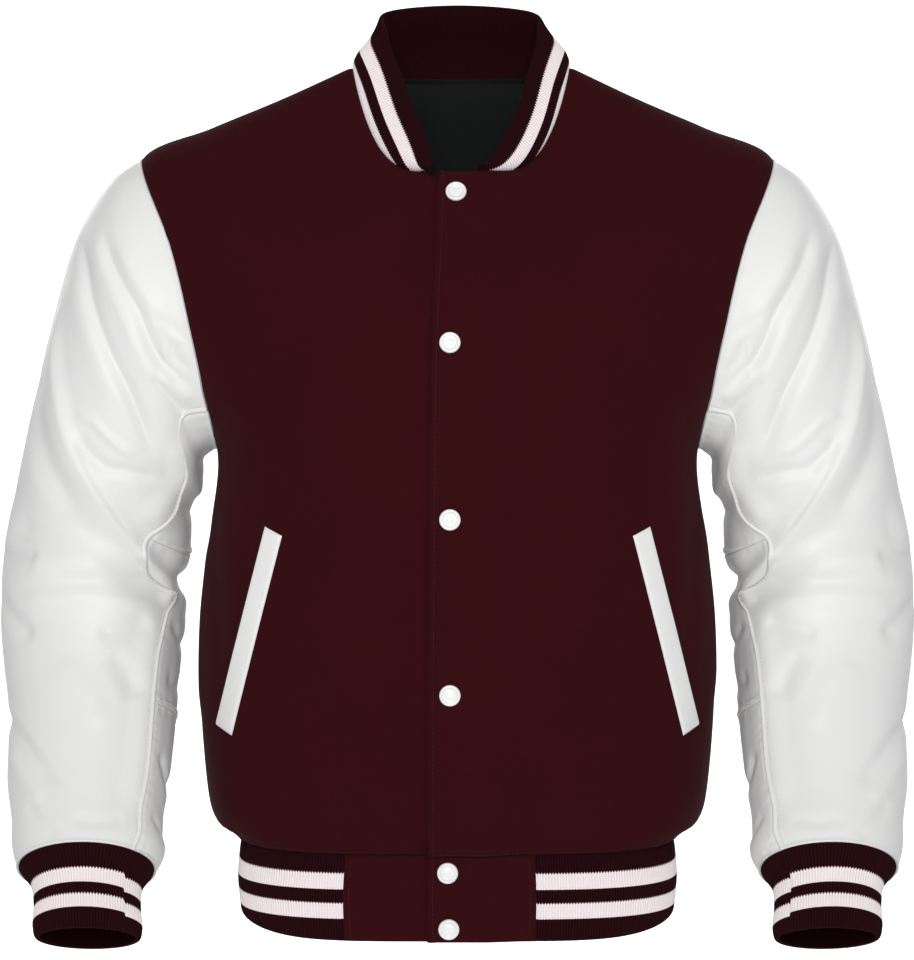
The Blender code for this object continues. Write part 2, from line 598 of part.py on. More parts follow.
def add_welt(side, hand):
    """Slanted pocket welt lying on the front panel."""
    top, bottom = np.array(WELT_TOP), np.array(WELT_BOTTOM)
    along = unit(bottom - top)
    across = np.array((-along[1], along[0])) * WELT_WIDTH / 2
    rows = []
    for share in np.linspace(1, 0, WELT_STEPS + 1):
        places = [front_place(*(top + (bottom - top) * share + across * offset)) for offset in (-1, 0, 1)]
        rows.append([ring_point(rows_, s, side * t) + ring_normal(rows_, s, side * t) * WELT_STANDOFF
                     for rows_, s, t in places])
    grid = faced(np.array(rows), side)
    add_wall("pocket_welt_" + hand, grid + grid_normals(grid, False) * WELT_WALL, grid, "leather")


def add_snap(name, x, z):
    """Domed snap cap on the closure: a turned profile, its flat side on the cloth."""
    rows, station, turn = front_place(x, z)
    normal = ring_normal(rows, station, turn)
    dome = [math.radians(90 * k / SNAP_DOME_STEPS) for k in range(SNAP_DOME_STEPS + 1)]
    profile = [(SNAP_RADIUS * math.sin(a), SNAP_RIM + (SNAP_RISE - SNAP_RIM) * math.cos(a)) for a in dome]
    profile += [(SNAP_RADIUS, 0.0), (0.0, 0.0)]
    mesh = bpy.data.meshes.new(name)
    mesh.from_pydata([(r, 0.0, h) for r, h in profile], [(k, k + 1) for k in range(len(profile) - 1)], [])
    cap = link_object(name, mesh, "snap")
    turned = cap.modifiers.new("turned", "SCREW")
    turned.steps = turned.render_steps = SNAP_STEPS
    turned.use_merge_vertices = True
    turned.merge_threshold = 0.00005
    turned.use_smooth_shade = True
    sideways = unit(np.cross((0.0, 0.0, 1.0), normal))
    seat = ring_point(rows, station, turn) + normal * (LAP_LIFT + SNAP_STANDOFF)
    frame = np.array((sideways, np.cross(normal, sideways), normal, seat)).T
    cap.matrix_world = Matrix([*frame.tolist(), (0.0, 0.0, 0.0, 1.0)])


def make_materials():
    made = {}
    for name, (colour, roughness, metallic) in FINISHES.items():
        material = bpy.data.materials.new(name)
        material.use_nodes = True
        shader = material.node_tree.nodes["Principled BSDF"]
        shader.inputs["Base Color"].default_value = colour
        shader.inputs["Roughness"].default_value = roughness
        shader.inputs["Metallic"].default_value = metallic
        made[name] = material
    return made


for old in list(bpy.data.objects):
    bpy.data.objects.remove(old, do_unlink=True)
parts = bpy.data.collections.new(COLLECTION)
bpy.context.scene.collection.children.link(parts)
materials = make_materials()

jacket = cloth_pieces()
add_cloth(jacket)
add_lining(jacket["back"].grid)
for which, direction in HANDS:
    add_welt(direction, which)
for index, place in enumerate(SNAPS, start=1):
    add_snap("snap_%d" % index, *place)
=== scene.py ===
# %% [markdown]
# # Dressing a varsity jacket
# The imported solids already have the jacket's shape, cut and seams. This lesson rebuilds each piece of cloth
# as a much finer wall on the same form, adds its creases, ribs, sewing and snaps, and gives wool, leather,
# rib knit, lining and caps their own materials. Every length is in metres.

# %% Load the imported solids
import bpy
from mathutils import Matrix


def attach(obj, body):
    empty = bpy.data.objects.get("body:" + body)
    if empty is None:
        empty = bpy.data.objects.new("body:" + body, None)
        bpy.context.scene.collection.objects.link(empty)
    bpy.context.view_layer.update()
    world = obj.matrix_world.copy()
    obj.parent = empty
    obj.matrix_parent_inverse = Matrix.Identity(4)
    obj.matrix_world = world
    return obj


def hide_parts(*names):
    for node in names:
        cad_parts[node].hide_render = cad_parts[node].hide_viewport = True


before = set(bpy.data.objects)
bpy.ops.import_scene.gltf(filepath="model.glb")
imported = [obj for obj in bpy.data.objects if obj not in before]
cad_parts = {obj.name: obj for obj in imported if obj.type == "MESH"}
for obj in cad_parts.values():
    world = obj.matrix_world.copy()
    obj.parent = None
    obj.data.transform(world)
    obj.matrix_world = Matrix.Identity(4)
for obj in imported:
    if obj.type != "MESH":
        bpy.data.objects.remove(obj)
bpy.context.view_layer.update()

# %% Modules
import math
from collections import namedtuple

import numpy as np
from mathutils import Vector
from mathutils.kdtree import KDTree

print("numpy", np.__version__)

# %% [markdown]
# ## Studio
# The jacket hangs in the air as it is worn, in front of a pale floor that bends up into a wall far behind it.
# One soft lamp in front models the folds, two lamps behind draw a thin light rim round the sleeves, and a dim
# even sky fills the hollows. A long lens keeps the jacket's sides nearly parallel.

# %% Camera
CAMERA_PLACE = Vector((0.0, -2.5, -0.2205))
CAMERA_AIM = Vector((0.0, 0.0, -0.3455))
FOCAL_PIXELS = 2975.0
FRAME_WIDTH = 914
SENSOR_WIDTH = 36.0


def linked(name, data):
    """A new object of the scene that shows a lens, a lamp or a mesh."""
    made = bpy.data.objects.new(name, data)
    bpy.context.scene.collection.objects.link(made)
    return made


lens = bpy.data.cameras.new("camera")
lens.sensor_fit = "HORIZONTAL"
lens.sensor_width = SENSOR_WIDTH
lens.lens = FOCAL_PIXELS * SENSOR_WIDTH / FRAME_WIDTH
lens.shift_x = -0.5 / FRAME_WIDTH
lens.clip_end = 100.0
camera = linked("camera", lens)
camera.location = CAMERA_PLACE
camera.rotation_euler = (CAMERA_AIM - CAMERA_PLACE).to_track_quat("-Z", "Y").to_euler()
bpy.context.scene.camera = camera
print("camera lens", round(lens.lens, 1), "mm")

# %% Lamps and sky
LAMPS = (   # name, place, aim, width, watts
    ("key", (0.0, -2.15, 0.20), (0.0, 0.0, -0.35), 1.0, 28.5),
    ("back_left", (1.6, 2.3, 0.5), (0.0, 0.0, -0.35), 1.2, 12.0),
    ("back_right", (-1.6, 2.3, 0.5), (0.0, 0.0, -0.35), 1.2, 12.0),
)
SKY_STRENGTH = 0.51

for name, place, aim, width, watts in LAMPS:
    lamp = bpy.data.lights.new(name, "AREA")
    lamp.shape, lamp.size, lamp.energy = "DISK", width, watts
    holder = linked(name, lamp)
    holder.location = place
    holder.rotation_euler = (Vector(aim) - Vector(place)).to_track_quat("-Z", "Y").to_euler()
sky = bpy.data.worlds.new("sky")
sky.use_nodes = True
even_light = sky.node_tree.nodes["Background"].inputs
even_light["Color"].default_value = (1.0, 1.0, 1.0, 1.0)
even_light["Strength"].default_value = SKY_STRENGTH
bpy.context.scene.world = sky
bpy.context.scene.view_settings.view_transform = "Standard"
print(len(LAMPS), "lamps")

# %% [markdown]
# ## Shader maths
# Materials here are node trees. Writing them as Python expressions keeps them readable: `Value` wraps one
# socket, and each operator adds a Math node. `Finish.node` adds any other node, with its settings made before
# its sockets are filled.

# %% Values
class Value:
    """One socket of a finish's node tree, whose operators add Math nodes."""

    def __init__(self, finish, socket):
        self.finish, self.socket = finish, socket

    def maths(self, operation, *others, clamp=False):
        sockets = dict(enumerate((self, *others)))
        return self.finish.node("ShaderNodeMath", {"operation": operation, "use_clamp": clamp}, sockets)

    def turned(self, operation, other):
        return self.finish.node("ShaderNodeMath", {"operation": operation}, {0: other, 1: self})

    def __add__(self, other):
        return self.maths("ADD", other)

    def __sub__(self, other):
        return self.maths("SUBTRACT", other)

    def __mul__(self, other):
        return self.maths("MULTIPLY", other)

    def __truediv__(self, other):
        return self.maths("DIVIDE", other)

    def __rsub__(self, other):
        return self.turned("SUBTRACT", other)

    __radd__, __rmul__ = __add__, __mul__

    def sine(self):
        return self.maths("SINE")

    def clamped(self):
        return self.maths("ADD", 0.0, clamp=True)


print("values add up as Math nodes")


# %% Finishes
class Finish:
    """A Principled material that is written as expressions."""

    def __init__(self, name, **constants):
        self.material = bpy.data.materials.new(name)
        self.material.use_nodes = True
        self.tree = self.material.node_tree
        self.shader = self.tree.nodes["Principled BSDF"]
        for socket, value in constants.items():
            self.shader.inputs[socket.replace("_", " ")].default_value = value

    def fill(self, socket, value):
        if isinstance(value, Value):
            self.tree.links.new(value.socket, socket)
        elif socket.type == "RGBA" and len(value) == 3:
            socket.default_value = (*value, 1.0)
        else:
            socket.default_value = value

    def node(self, kind, settings, sockets, output=0):
        """Adds a node, makes its settings, fills its sockets and gives back one of its outputs."""
        made = self.tree.nodes.new(kind)
        for setting, value in settings.items():
            setattr(made, setting, value)
        for socket, value in sockets.items():
            self.fill(made.inputs[socket], value)
        return Value(self, made.outputs[output])

    def place(self):
        return self.node("ShaderNodeTexCoord", {}, {}, "Object")

    def along(self, axis):
        """The object's own coordinate along one axis."""
        return self.node("ShaderNodeSeparateXYZ", {}, {0: self.place()}, axis)

    def cloth_place(self):
        """The piece's own cloth coordinates, across and along."""
        place = self.node("ShaderNodeUVMap", {"uv_map": CLOTH_UV}, {})
        return [self.node("ShaderNodeSeparateXYZ", {}, {0: place}, axis) for axis in ("X", "Y")]

    def noise(self, scale, detail=2.0, roughness=0.5):
        sockets = {"Vector": self.place(), "Scale": scale, "Detail": detail, "Roughness": roughness}
        return self.node("ShaderNodeTexNoise", {}, sockets)

    def cells(self, scale):
        return self.node("ShaderNodeTexVoronoi", {}, {"Vector": self.place(), "Scale": scale})

    def blend(self, share, first, second):
        sockets = {0: share, 6: first, 7: second}
        return self.node("ShaderNodeMix", {"data_type": "RGBA"}, sockets, 2)

    def emboss(self, height, metres, strength=1.0):
        """Raises the surface by height times metres."""
        bump = self.node("ShaderNodeBump", {}, {"Height": height, "Distance": metres, "Strength": strength})
        self.fill(self.shader.inputs["Normal"], bump)

    def show(self, **sockets):
        for socket, value in sockets.items():
            self.fill(self.shader.inputs[socket.replace("_", " ")], value)


CLOTH_UV = "cloth"
print("finishes read the cloth map", CLOTH_UV)

# %% [markdown]
# ## Floor
# A photographer's sweep: a pale floor that curves up into a wall without a corner, so that no line
# crosses behind the jacket. One profile pulled sideways is all it needs. The paper glows behind the jacket:
# a painted pool of light, emitted by the paper itself, where a second pair of studio lamps would light the
# wall.

# %% Floor
FLOOR_Z, SWEEP_HALF_WIDTH, SWEEP_RADIUS = -1.35, 9.0, 1.6
SWEEP_FRONT, SWEEP_BACK, SWEEP_TOP = -7.0, 4.2, 6.0
# The glowing patch is painted light: the paper emits it itself, and no lamp lights it.
GLOW, GLOW_CENTRE_Y, GLOW_RADIUS = 0.80, 4.0, 1.55      # the lit patch of the wall

bend_y = SWEEP_BACK - SWEEP_RADIUS
profile = [(SWEEP_FRONT, FLOOR_Z), (bend_y, FLOOR_Z)]
profile += [(bend_y + SWEEP_RADIUS * math.sin(a), FLOOR_Z + SWEEP_RADIUS * (1 - math.cos(a)))
            for a in np.radians(np.linspace(0, 90, 25))[1:]]
profile.append((SWEEP_BACK, SWEEP_TOP))
sweep_mesh = bpy.data.meshes.new("floor")
sweep_mesh.from_pydata([(x, y, z) for y, z in profile for x in (-SWEEP_HALF_WIDTH, SWEEP_HALF_WIDTH)], [],
                       [(2 * k, 2 * k + 1, 2 * k + 3, 2 * k + 2) for k in range(len(profile) - 1)])
sweep_mesh.shade_smooth()
sweep = linked("floor", sweep_mesh)
paper = Finish("backdrop_paper", Roughness=0.9, Emission_Strength=GLOW)
x, y = paper.along("X"), paper.along("Y")
from_glow = (x * x + (y - GLOW_CENTRE_Y) * (y - GLOW_CENTRE_Y)).maths("SQRT")
# Painted light: the paper emits its own light in a round patch of the wall behind the jacket, fading towards
# its edge.
glow = (2.0 - from_glow / GLOW_RADIUS).clamped()
paper.show(Base_Color=paper.blend(paper.noise(3.0), (0.90, 0.90, 0.90), (0.94, 0.94, 0.94)),
           Emission_Color=paper.blend(glow, (0.0, 0.0, 0.0), (1.0, 1.0, 1.0)))
sweep_mesh.materials.append(paper.material)
print("floor at", FLOOR_Z)

# %% [markdown]
# ## The pattern
# A tailor grades a jacket from a few measurements, and so does this script. The body is a stack of rings from
# the hem seam to the neckline, the sleeve a second stack from the armhole to the cuff, and a smooth curve runs
# through each column of numbers. They are the same tables that the solids were made from, so that the fine
# cloth lies exactly where the solids are.

# %% Sizes of the cloth
WOOL_WALL, LEATHER_WALL, KNIT_WALL, COLLAR_WALL, LINING_WALL = 0.0025, 0.0020, 0.0030, 0.0040, 0.0010
LINING_CLEARANCE, LINING_MARGIN = 0.0016, 0.005
SEAM_GAP = 0.00002
BLUNT_SEAM = 0.7                    # cosine between a rim's own direction and its seam's shared one
LAP_LIFT, LAP_FLAT_TO, LAP_ENDS_AT = 0.0033, 0.020, 0.055     # the left front lies on the right one
UNDERLAP_EDGE = 0.0105
LAP_PRESS, LAP_PRESS_SIDE, LAP_PRESS_WIDTH = 0.0021, 0.0004, 0.0036      # its edge presses into the right front
TAB_RIGHT_END, TAB_LEFT_END, COLLAR_END = -0.0908, 0.0625, 0.0172
ARMHOLE_FRONT, ARMHOLE_BACK = 0.27, 0.25
UNDERARM, SHOULDER, NECKLINE = 7, 11, 14                      # stations
print("wool", WOOL_WALL, "leather", LEATHER_WALL, "rib", KNIT_WALL, "m thick")

# %% Rings of the body and the rib band
BODY_COLUMNS = ("half_width", "side_z", "front_z", "front_y", "back_z", "back_y", "square", "rise",
                "centre_x", "closure_x")
BODY_ROWS = (
    (0.1810, -0.641, -0.643, 0.1180, -0.641, 0.112, 3.8, 4.0, 0.0, -0.0245),    # hem seam
    (0.1895, -0.634, -0.636, 0.1250, -0.634, 0.119, 3.5, 4.0, 0.0, -0.0245),
    (0.2020, -0.627, -0.618, 0.1340, -0.622, 0.128, 3.0, 3.0, 0.0, -0.0244),
    (0.2095, -0.602, -0.590, 0.1430, -0.592, 0.134, 2.8, 3.0, 0.0, -0.0243),    # blouse over the band
    (0.2155, -0.530, -0.526, 0.1490, -0.526, 0.136, 2.5, 3.0, 0.0, -0.0242),
    (0.2145, -0.460, -0.458, 0.1495, -0.456, 0.135, 2.5, 3.0, 0.0, -0.0238),    # waist
    (0.2068, -0.385, -0.388, 0.1480, -0.382, 0.136, 2.4, 3.0, 0.0, -0.0233),
    (0.2015, -0.318, -0.325, 0.1440, -0.315, 0.137, 2.4, 3.0, 0.0, -0.0227),    # underarm
    (0.2270, -0.262, -0.272, 0.1395, -0.260, 0.137, 2.4, 3.0, 0.0, -0.0222),
    (0.2520, -0.200, -0.226, 0.1310, -0.205, 0.134, 2.4, 3.0, 0.0, -0.0212),
    (0.2640, -0.135, -0.185, 0.1200, -0.150, 0.125, 2.4, 3.0, 0.0, -0.0195),
    (0.2630, -0.077, -0.150, 0.1060, -0.100, 0.110, 2.4, 3.0, 0.0, -0.0178),    # shoulder point
    (0.2060, -0.051, -0.130, 0.0980, -0.066, 0.095, 2.3, 3.2, 0.001, -0.0170),
    (0.1480, -0.0265, -0.111, 0.0885, -0.034, 0.078, 2.2, 3.8, 0.002, -0.0165),
    (0.0915, 0.000, -0.092, 0.0780, -0.004, 0.062, 2.0, 4.7, 0.003, -0.0160),   # neckline
)
BAND_ROWS = (
    (0.1810, -0.701, -0.7135, 0.1180, -0.704, 0.1115, 4.0, 6.0, 0.0, -0.0240),
    (0.1835, -0.671, -0.6780, 0.1200, -0.672, 0.1135, 4.0, 6.0, 0.0, -0.0243),
    BODY_ROWS[0],
)
print(len(BODY_ROWS), "rings of the body,", len(BAND_ROWS), "of the band")

# %% Rings of the sleeve, the cuff and the collar
SLEEVE_COLUMNS = ("inner_x", "inner_z", "outer_x", "outer_z", "centre_y", "half_depth", "tilt", "front_seam")
SLEEVE_ROWS = (
    (0.2120, -0.326, 0.2870, -0.0930, 0.000, 0.0740, 0.0, 46.0),
    (0.2140, -0.340, 0.3060, -0.1180, 0.002, 0.0730, 0.0, 47.0),
    (0.2165, -0.354, 0.3220, -0.1500, 0.004, 0.0720, 0.0, 34.0),
    (0.2240, -0.367, 0.3370, -0.2000, 0.007, 0.0710, 0.0, 30.0),
    (0.2250, -0.382, 0.3500, -0.2500, 0.011, 0.0700, 0.0, 34.0),
    (0.2258, -0.398, 0.3620, -0.3000, 0.015, 0.0700, 0.0, 44.0),
    (0.2280, -0.416, 0.3730, -0.3500, 0.018, 0.0700, 0.0, 54.0),    # above the elbow
    (0.2365, -0.434, 0.3825, -0.3930, 0.019, 0.0690, 4.0, 42.0),
    (0.2330, -0.447, 0.3860, -0.4300, 0.017, 0.0680, 8.0, 24.0),    # elbow
    (0.2305, -0.466, 0.3860, -0.4680, 0.010, 0.0670, 12.0, 32.0),
    (0.2330, -0.495, 0.3820, -0.5000, -0.003, 0.0640, 17.0, 38.0),
    (0.2345, -0.528, 0.3760, -0.5320, -0.020, 0.0620, 22.0, 40.0),
    (0.2360, -0.560, 0.3730, -0.5630, -0.040, 0.0590, 26.0, 40.0),
    (0.2380, -0.592, 0.3705, -0.5940, -0.064, 0.0560, 29.0, 39.0),
    (0.2405, -0.618, 0.3640, -0.6200, -0.087, 0.0530, 32.0, 40.0),
    (0.2370, -0.640, 0.3605, -0.6400, -0.108, 0.0510, 35.0, 42.0),    # puffed over the cuff
    (0.2430, -0.652, 0.3540, -0.6530, -0.125, 0.0460, 38.0, 42.0),    # cuff seam
)
SLEEVE_END = len(SLEEVE_ROWS)
ELBOW_SEAM, WRIST_SEAM = 6.6, 12.4      # stations of the under sleeve's cross seams
UNDER_BACK_SEAM, UNDER_FRONT_START = -45.0, 45.0      # degrees; the front seam then follows its column
CUFF_COLUMNS = ("centre_x", "centre_y", "centre_z", "half_width", "half_depth", "tilt")
CUFF_ROWS = (
    (0.2972, -0.1335, -0.6650, 0.0450, 0.0365, 36.0),
    (0.2955, -0.1450, -0.6800, 0.0428, 0.0318, 33.0),
    (0.2935, -0.1600, -0.7030, 0.0430, 0.0300, 30.0),
)
COLLAR_FOLD_ROWS = (    # share of the way round, x, y and z of the collar's top fold
    (0.00, 0.0185, -0.0765, -0.0875),
    (0.07, 0.0350, -0.0635, -0.0660),
    (0.14, 0.0490, -0.0440, -0.0360),
    (0.21, 0.0590, -0.0240, -0.0020),
    (0.29, 0.0680, 0.0000, 0.0300),
    (0.38, 0.0640, 0.0260, 0.0490),
    (0.50, 0.0010, 0.0430, 0.0565),
    (0.62, -0.0610, 0.0260, 0.0490),
    (0.71, -0.0600, 0.0000, 0.0300),
    (0.79, -0.0480, -0.0240, -0.0020),
    (0.86, -0.0375, -0.0440, -0.0330),
    (0.93, -0.0255, -0.0625, -0.0620),
    (1.00, -0.0180, -0.0765, -0.0880),
)
COLLAR_BULGE, COLLAR_ROLL = 0.0025, 0.0060      # the collar leans out over its seam
WELT_TOP, WELT_BOTTOM, WELT_WIDTH = (0.1475, -0.381), (0.1900, -0.545), 0.0155
WELT_WALL, WELT_STANDOFF = 0.0018, 0.0006
SNAPS = ((-0.0012, -0.1085), (-0.0060, -0.2298), (-0.0060, -0.3696), (-0.0060, -0.5089),
         (-0.0080, -0.6565), (-0.0070, -0.7020))
print(SLEEVE_END, "rings of the sleeve,", len(CUFF_ROWS), "of the cuff")


# %% [markdown]
# ## Creases
# Cloth folds where it is squeezed: over the elbow, under the arm, across the upper arm where the sleeve turns
# forward, and above the tight rib band. A simulation would put folds somewhere, but these belong in given
# places, so each one is a short path on the cloth with a height and a width on either side. A crisp fold turns
# sharply at its path, as leather does, and a soft one rolls over it.

# %% Folds of the sleeves
# Height, crispness, width to the left and right of the path as seen from outside, and the path itself in
# degrees round the sleeve and stations along it. Most paths run from the outer side inwards, with the cuff on
# their left.
SLEEVE_FOLDS = (
    (-0.0052, 0.75, 0.013, 0.012, ((165, 2.42), (156, 2.60), (140, 2.79), (128, 3.01), (114, 3.19), (99, 3.28),
                                   (86, 3.32), (73, 3.49), (55, 3.81))),
    (-0.0012, 0.00, 0.026, 0.024, ((167, 2.39), (128, 3.01), (99, 3.28), (73, 3.49), (56, 3.66))),
    (0.0024, 0.20, 0.012, 0.014, ((148, 2.13), (128, 2.30), (114, 2.31), (102, 2.27), (91, 2.29), (79, 2.18),
                                  (65, 1.95))),
    (0.0018, 0.10, 0.016, 0.016, ((154, 3.21), (135, 3.44), (116, 3.65), (101, 3.81), (85, 3.91))),
    (-0.0046, 0.75, 0.011, 0.011, ((141, 1.74), (125, 1.81), (109, 1.64), (96, 1.41), (87, 1.41), (76, 1.28),
                                   (68, 0.87), (61, 0.56), (56, 0.33))),
    (0.0016, 0.10, 0.014, 0.014, ((124, 1.38), (108, 1.20), (97, 0.98), (89, 0.80))),
    (-0.0018, 0.70, 0.006, 0.006, ((90, 1.00), (87, 0.69), (84, 0.44), (81, 0.20))),
    (0.0018, 0.40, 0.006, 0.005, ((85, 0.84), (83, 0.61), (79, 0.35))),
    (-0.0031, 0.45, 0.008, 0.008, ((79, 0.53), (76, 0.66), (72, 0.65), (69, 0.51), (67, 0.30))),
    (0.0020, 0.40, 0.006, 0.006, ((78, 0.84), (74, 0.97), (69, 0.82), (65, 0.50))),
    (0.0024, 0.30, 0.009, 0.008, ((72, 1.52), (60, 0.97), (53, 0.45))),
    (-0.0024, 0.50, 0.008, 0.008, ((77, 2.15), (67, 1.85), (53, 1.28), (46, 0.70))),
    (0.0066, 0.50, 0.028, 0.016, ((158, 3.80), (151, 4.27), (143, 4.68), (133, 5.03), (122, 5.45), (112, 5.75),
                                  (98, 6.07), (81, 6.51), (66, 6.88), (52, 7.25), (34, 7.75), (12, 8.45),
                                  (-6, 8.9))),
    (0.0040, 0.30, 0.007, 0.014, ((62, 7.1), (46, 7.55), (36, 7.95), (30, 8.4), (30, 8.9), (38, 9.5))),
    (0.0042, 0.10, 0.018, 0.030, ((46, 2.0), (36, 3.0), (36, 4.0), (46, 5.2), (58, 6.3))),
    (0.0038, 0.10, 0.018, 0.030, ((42, 9.6), (44, 11.0), (46, 12.5), (46, 14.0), (48, 15.6))),
    (-0.0036, 0.20, 0.022, 0.020, ((170, 4.9), (158, 5.5), (140, 6.05), (120, 6.45), (100, 6.8))),
    (-0.0088, 0.30, 0.034, 0.046, ((168, 7.9), (155, 7.75), (124, 7.49), (102, 7.21), (84, 7.06), (68, 7.25),
                                   (46, 7.78), (27, 8.72))),
    (-0.0016, 0.80, 0.004, 0.005, ((111, 5.28), (104, 5.66), (92, 6.02), (78, 6.40), (66, 6.73))),
    (-0.0030, 0.50, 0.010, 0.009, ((110, 5.24), (105, 5.43), (97, 5.46), (87, 5.41), (74, 5.05), (60, 4.64),
                                   (50, 4.33))),
    (0.0020, 0.30, 0.007, 0.008, ((115, 5.25), (112, 5.00), (103, 4.81), (94, 4.79), (82, 4.70), (69, 4.42))),
    (0.0020, 0.10, 0.024, 0.020, ((143, 8.69), (111, 8.37), (85, 8.02), (59, 7.99), (35, 8.60))),
    (-0.0011, 0.30, 0.009, 0.008, ((113, 8.89), (92, 8.82), (66, 8.55), (44, 8.44))),
    (0.0022, 0.10, 0.018, 0.012, ((135, 9.56), (105, 9.48), (80, 9.42), (54, 9.51), (34, 9.57))),
    (-0.0042, 0.30, 0.026, 0.010, ((176, 8.40), (160, 8.38), (144, 8.35), (131, 8.30), (120, 8.31))),
    (-0.0034, 0.20, 0.015, 0.013, ((176, 9.3), (162, 9.5), (149, 9.82), (136, 10.2), (124, 10.7))),
    (-0.0020, 0.30, 0.016, 0.014, ((82, 10.65), (65, 10.46), (47, 10.23))),
    (-0.0022, 0.20, 0.018, 0.016, ((72, 11.13), (61, 11.81), (51, 12.40))),
    (0.0014, 0.10, 0.018, 0.018, ((106, 11.37), (90, 12.23), (78, 13.26))),
    (-0.0032, 0.35, 0.015, 0.012, ((196, 12.0), (173, 12.47), (142, 13.21), (122, 14.02), (105, 14.77))),
    (0.0020, 0.20, 0.014, 0.012, ((160, 13.39), (137, 14.21), (119, 15.13))),
    (-0.0014, 0.30, 0.010, 0.012, ((99, 15.81), (80, 15.97), (56, 15.66))),
    (-0.0016, 0.40, 0.010, 0.010, ((137, 14.89), (124, 15.80), (109, 16.64))),
    # The same kinds of fold on the side that is not seen from the front.
    (0.0046, 0.40, 0.020, 0.022, ((300, 7.9), (262, 7.3), (232, 6.8), (206, 6.2))),
    (-0.0055, 0.40, 0.026, 0.016, ((300, 9.2), (268, 8.8), (240, 8.2), (212, 7.6))),
    (-0.0046, 0.60, 0.016, 0.018, ((290, 4.5), (266, 3.8), (238, 3.2), (214, 2.7))),
    (0.0022, 0.10, 0.018, 0.016, ((272, 4.9), (248, 4.3), (222, 3.8))),
    (-0.0034, 0.50, 0.012, 0.014, ((276, 5.5), (250, 5.1), (226, 4.6))),
    (-0.0034, 0.60, 0.012, 0.012, ((262, 1.9), (282, 1.4), (300, 1.0))),
    (-0.0034, 0.40, 0.016, 0.014, ((274, 11.9), (244, 11.2), (216, 10.6))),
    (0.0020, 0.10, 0.016, 0.016, ((280, 13.4), (250, 13.0), (222, 12.4))),
    (-0.0026, 0.50, 0.014, 0.012, ((272, 15.2), (240, 14.8), (208, 14.2))),
    # Short folds of the under sleeve, next to the body.
    (-0.0024, 0.40, 0.010, 0.010, ((22, 1.2), (6, 1.6), (-14, 1.4), (-30, 1.0))),
    (0.0018, 0.20, 0.010, 0.010, ((20, 2.6), (4, 3.0), (-20, 2.8))),
    (-0.0026, 0.50, 0.009, 0.009, ((24, 4.2), (6, 4.6), (-18, 4.4), (-34, 4.0))),
    (-0.0016, 0.40, 0.008, 0.008, ((26, 2.0), (12, 1.5), (-6, 1.2))),
    (-0.0034, 0.50, 0.011, 0.010, ((16, 7.3), (0, 7.7), (-20, 7.6), (-36, 7.2))),
    (0.0020, 0.20, 0.012, 0.012, ((14, 8.9), (-4, 9.2), (-26, 9.0))),
    (-0.0026, 0.50, 0.010, 0.010, ((28, 10.1), (20, 10.4), (2, 10.7), (-22, 10.3))),
    (-0.0018, 0.30, 0.012, 0.012, ((28, 11.6), (10, 11.8), (-14, 11.5))),
    (-0.0026, 0.50, 0.011, 0.010, ((28, 13.5), (18, 13.8), (2, 14.1), (-20, 13.7))),
    (-0.0016, 0.40, 0.010, 0.010, ((30, 15.2), (10, 15.6), (-12, 15.3))),
)
print(len(SLEEVE_FOLDS), "folds a sleeve")

# %% Folds and gathers of the body
# The same for the body, in turns round it (0 front, 1 left side, 2 back) and stations up it.
BODY_FOLDS = (
    (-0.0024, 0.30, 0.034, 0.026, ((0.78, 7.2), (0.62, 7.9), (0.44, 8.6), (0.30, 9.6))),
    (-0.0022, 0.30, 0.026, 0.030, ((0.86, 6.6), (0.74, 5.6), (0.66, 4.6))),
    (0.0018, 0.10, 0.028, 0.028, ((0.96, 6.2), (0.92, 5.0), (0.90, 4.0))),
    (-0.0018, 0.10, 0.036, 0.036, ((0.50, 5.6), (0.40, 4.6), (0.34, 3.4))),
    (-0.0024, 0.30, 0.026, 0.032, ((-0.80, 7.3), (-0.60, 8.0), (-0.42, 8.8), (-0.30, 9.8))),
    (-0.0021, 0.30, 0.030, 0.026, ((-0.88, 6.4), (-0.76, 5.3), (-0.70, 4.3))),
    (0.0018, 0.10, 0.028, 0.028, ((-0.95, 6.0), (-0.92, 4.8), (-0.89, 3.8))),
    (-0.0016, 0.10, 0.036, 0.036, ((-0.46, 5.2), (-0.38, 4.2), (-0.30, 3.2))),
    (-0.0034, 0.30, 0.026, 0.036, ((1.24, 7.3), (1.42, 6.9), (1.66, 7.1), (1.84, 7.5))),
    (-0.0032, 0.30, 0.036, 0.028, ((2.80, 7.4), (2.60, 7.0), (2.36, 7.2), (2.14, 7.7))),
    (-0.0028, 0.30, 0.024, 0.030, ((1.12, 5.0), (1.30, 4.6), (1.54, 4.7))),
    (-0.0028, 0.30, 0.030, 0.024, ((2.90, 5.1), (2.72, 4.7), (2.50, 4.8))),
    (0.0022, 0.10, 0.030, 0.030, ((1.30, 5.8), (1.58, 5.6), (1.90, 5.8), (2.30, 5.6), (2.66, 5.9))),
    (-0.0020, 0.20, 0.032, 0.032, ((1.36, 9.0), (1.60, 9.6), (1.80, 10.6))),
    (-0.0020, 0.20, 0.032, 0.032, ((2.66, 9.1), (2.42, 9.7), (2.22, 10.5))),
)
FOLD_FADE, FOLD_END_LEFT = 0.20, 0.12       # share of a path over which its fold dies, and how far it goes on
GATHER_START = 0.25                         # stations above the seam over which a gather begins
